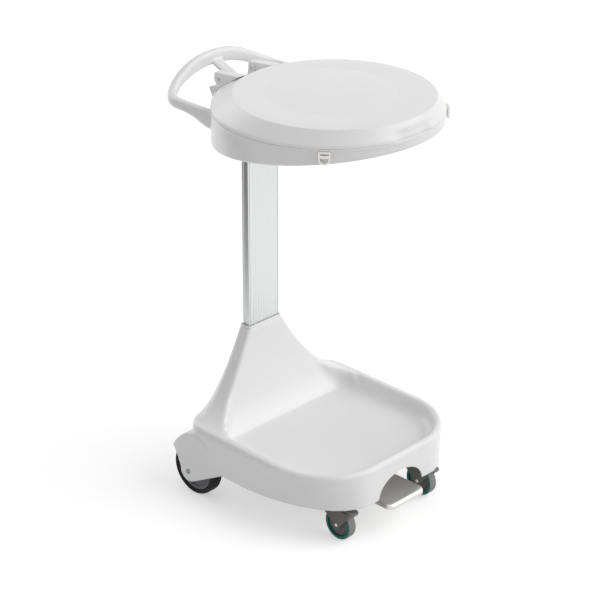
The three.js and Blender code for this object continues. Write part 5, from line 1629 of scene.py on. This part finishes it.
class TROLLEY_OT_stage(bpy.types.Operator):
    """Set up the floor, the light and the camera"""

    bl_idname = "trolley.stage"
    bl_label = "Stage"

    def execute(self, context):
        stage = context.scene.trolley_stage
        bm = bmesh.new()
        bmesh.ops.create_grid(bm, x_segments=1, y_segments=1, size=30)
        floor = solid_object("floor", bm)
        if floor.data.polygons[0].normal.z < 0:
            floor.data.flip_normals()
        floor.data.materials.append(self.floor_finish(stage.glow))
        self.light_world(context.scene, stage.ambient)

        key = hang_lamp("key_lamp", "SUN", stage.key, Vector((0.50, -0.62, 0.62)))
        key.angle = math.radians(60)
        back = hang_lamp("back_lamp", "SUN", stage.back, Vector((-0.12, 0.96, 0.22)))
        back.angle = math.radians(50)
        spot, aim = Vector((-0.20, 0.06, 1.24)), Vector((-0.12, 0.0, 0.98))
        softbox = hang_lamp("top_softbox", "AREA", stage.top, spot - aim, spot)
        softbox.shape, softbox.size = "SQUARE", 0.3

        bm = bmesh.new()
        bmesh.ops.create_grid(bm, x_segments=1, y_segments=1, size=1)
        bmesh.ops.rotate(bm, verts=bm.verts, matrix=Matrix.Rotation(math.radians(90), 3, "Y"))
        bmesh.ops.translate(bm, verts=bm.verts, vec=(-0.8, 1.3, 0.9))
        flag = solid_object("black_flag", bm)
        black = bpy.data.materials.new("flag_cloth")
        black.use_nodes = True
        black.node_tree.nodes["Principled BSDF"].inputs["Base Color"].default_value = (0.02, 0.02, 0.02, 1)
        flag.data.materials.append(black)
        flag.visible_camera = flag.visible_diffuse = flag.visible_shadow = False

        turn, lift = -stage.azimuth, stage.elevation
        back = Vector((math.sin(turn) * math.cos(lift), -math.cos(turn) * math.cos(lift), math.sin(lift)))
        right = Vector((math.cos(turn), math.sin(turn), 0))
        up = back.cross(right)
        eye = bpy.data.cameras.new("studio_camera")
        eye.lens, eye.sensor_width, eye.shift_x = stage.lens, 36, stage.shift
        eye.clip_start, eye.clip_end = 0.1, 60
        camera = bpy.data.objects.new("studio_camera", eye)
        aim = place(0, 0, 0)
        spot = aim - right * stage.side_offset + up * stage.drop + back * stage.distance
        turned = Matrix((right, up, back)).transposed().to_4x4()
        camera.matrix_world = Matrix.Translation(spot) @ turned
        context.scene.collection.objects.link(camera)
        context.scene.camera = camera
        context.scene.view_settings.view_transform = "Standard"
        return {"FINISHED"}

    def floor_finish(self, glow):
        material = bpy.data.materials.new("floor_paper")
        material.use_nodes = True
        tree = material.node_tree
        tree.nodes.clear()
        paper = add_node(tree, "ShaderNodeBsdfDiffuse", {"Color": (0.8, 0.8, 0.8, 1)})
        level = maths(tree, "MULTIPLY", seen_directly(tree), glow)
        shine = add_node(tree, "ShaderNodeEmission", {"Strength": level})
        both = add_node(tree, "ShaderNodeAddShader", {0: paper.outputs[0], 1: shine.outputs[0]})
        add_node(tree, "ShaderNodeOutputMaterial", {"Surface": both.outputs[0]})
        return material

    def light_world(self, scene, ambient):
        world = bpy.data.worlds.new("studio")
        world.use_nodes = True
        tree = world.node_tree
        tree.nodes.clear()
        level = maths(tree, "MULTIPLY_ADD", seen_directly(tree), 1 - ambient, ambient)
        sky = add_node(tree, "ShaderNodeBackground", {"Color": (1, 1, 1, 1), "Strength": level})
        add_node(tree, "ShaderNodeOutputWorld", {"Surface": sky.outputs[0]})
        scene.world = world


class TROLLEY_PT_panel(bpy.types.Panel):
    """Steps that build the trolley"""

    bl_idname = "TROLLEY_PT_panel"
    bl_label = "Linen Trolley"
    bl_space_type = "VIEW_3D"
    bl_region_type = "UI"
    bl_category = "Trolley"

    def draw(self, context):
        for step in STEPS:
            self.layout.operator(step.bl_idname)
        for group in GROUPS:
            box = self.layout.box()
            settings = getattr(context.scene, group)
            for name in settings.bl_rna.properties.keys():
                if name not in {"rna_type", "name"}:
                    box.prop(settings, name)


STEPS = (
    TROLLEY_OT_finishes,
    TROLLEY_OT_stage,
    TROLLEY_OT_base,
    TROLLEY_OT_column,
    TROLLEY_OT_ring,
    TROLLEY_OT_lid,
    TROLLEY_OT_handle,
    TROLLEY_OT_rear_wheels,
    TROLLEY_OT_castors,
    TROLLEY_OT_pedal,
    TROLLEY_OT_fittings,
)
GROUPS = {
    "trolley_base": BaseSizes,
    "trolley_top": TopSizes,
    "trolley_gear": GearSizes,
    "trolley_finishes": Finishes,
    "trolley_stage": StageSettings,
}


def register():
    for name, group in GROUPS.items():
        bpy.utils.register_class(group)
        setattr(bpy.types.Scene, name, PointerProperty(type=group))
    for step in STEPS:
        bpy.utils.register_class(step)
    bpy.utils.register_class(TROLLEY_PT_panel)


def unregister():
    bpy.utils.unregister_class(TROLLEY_PT_panel)
    for step in reversed(STEPS):
        bpy.utils.unregister_class(step)
    for name, group in reversed(list(GROUPS.items())):
        delattr(bpy.types.Scene, name)
        bpy.utils.unregister_class(group)


def main():
    register()
    bpy.ops.trolley.finishes()
    bpy.ops.trolley.stage()
    bpy.ops.trolley.base()
    bpy.ops.trolley.column()
    bpy.ops.trolley.ring()
    bpy.ops.trolley.lid()
    bpy.ops.trolley.handle()
    bpy.ops.trolley.rear_wheels()
    bpy.ops.trolley.castors()
    bpy.ops.trolley.pedal()
    bpy.ops.trolley.fittings()


if __name__ == "__main__":
    main()
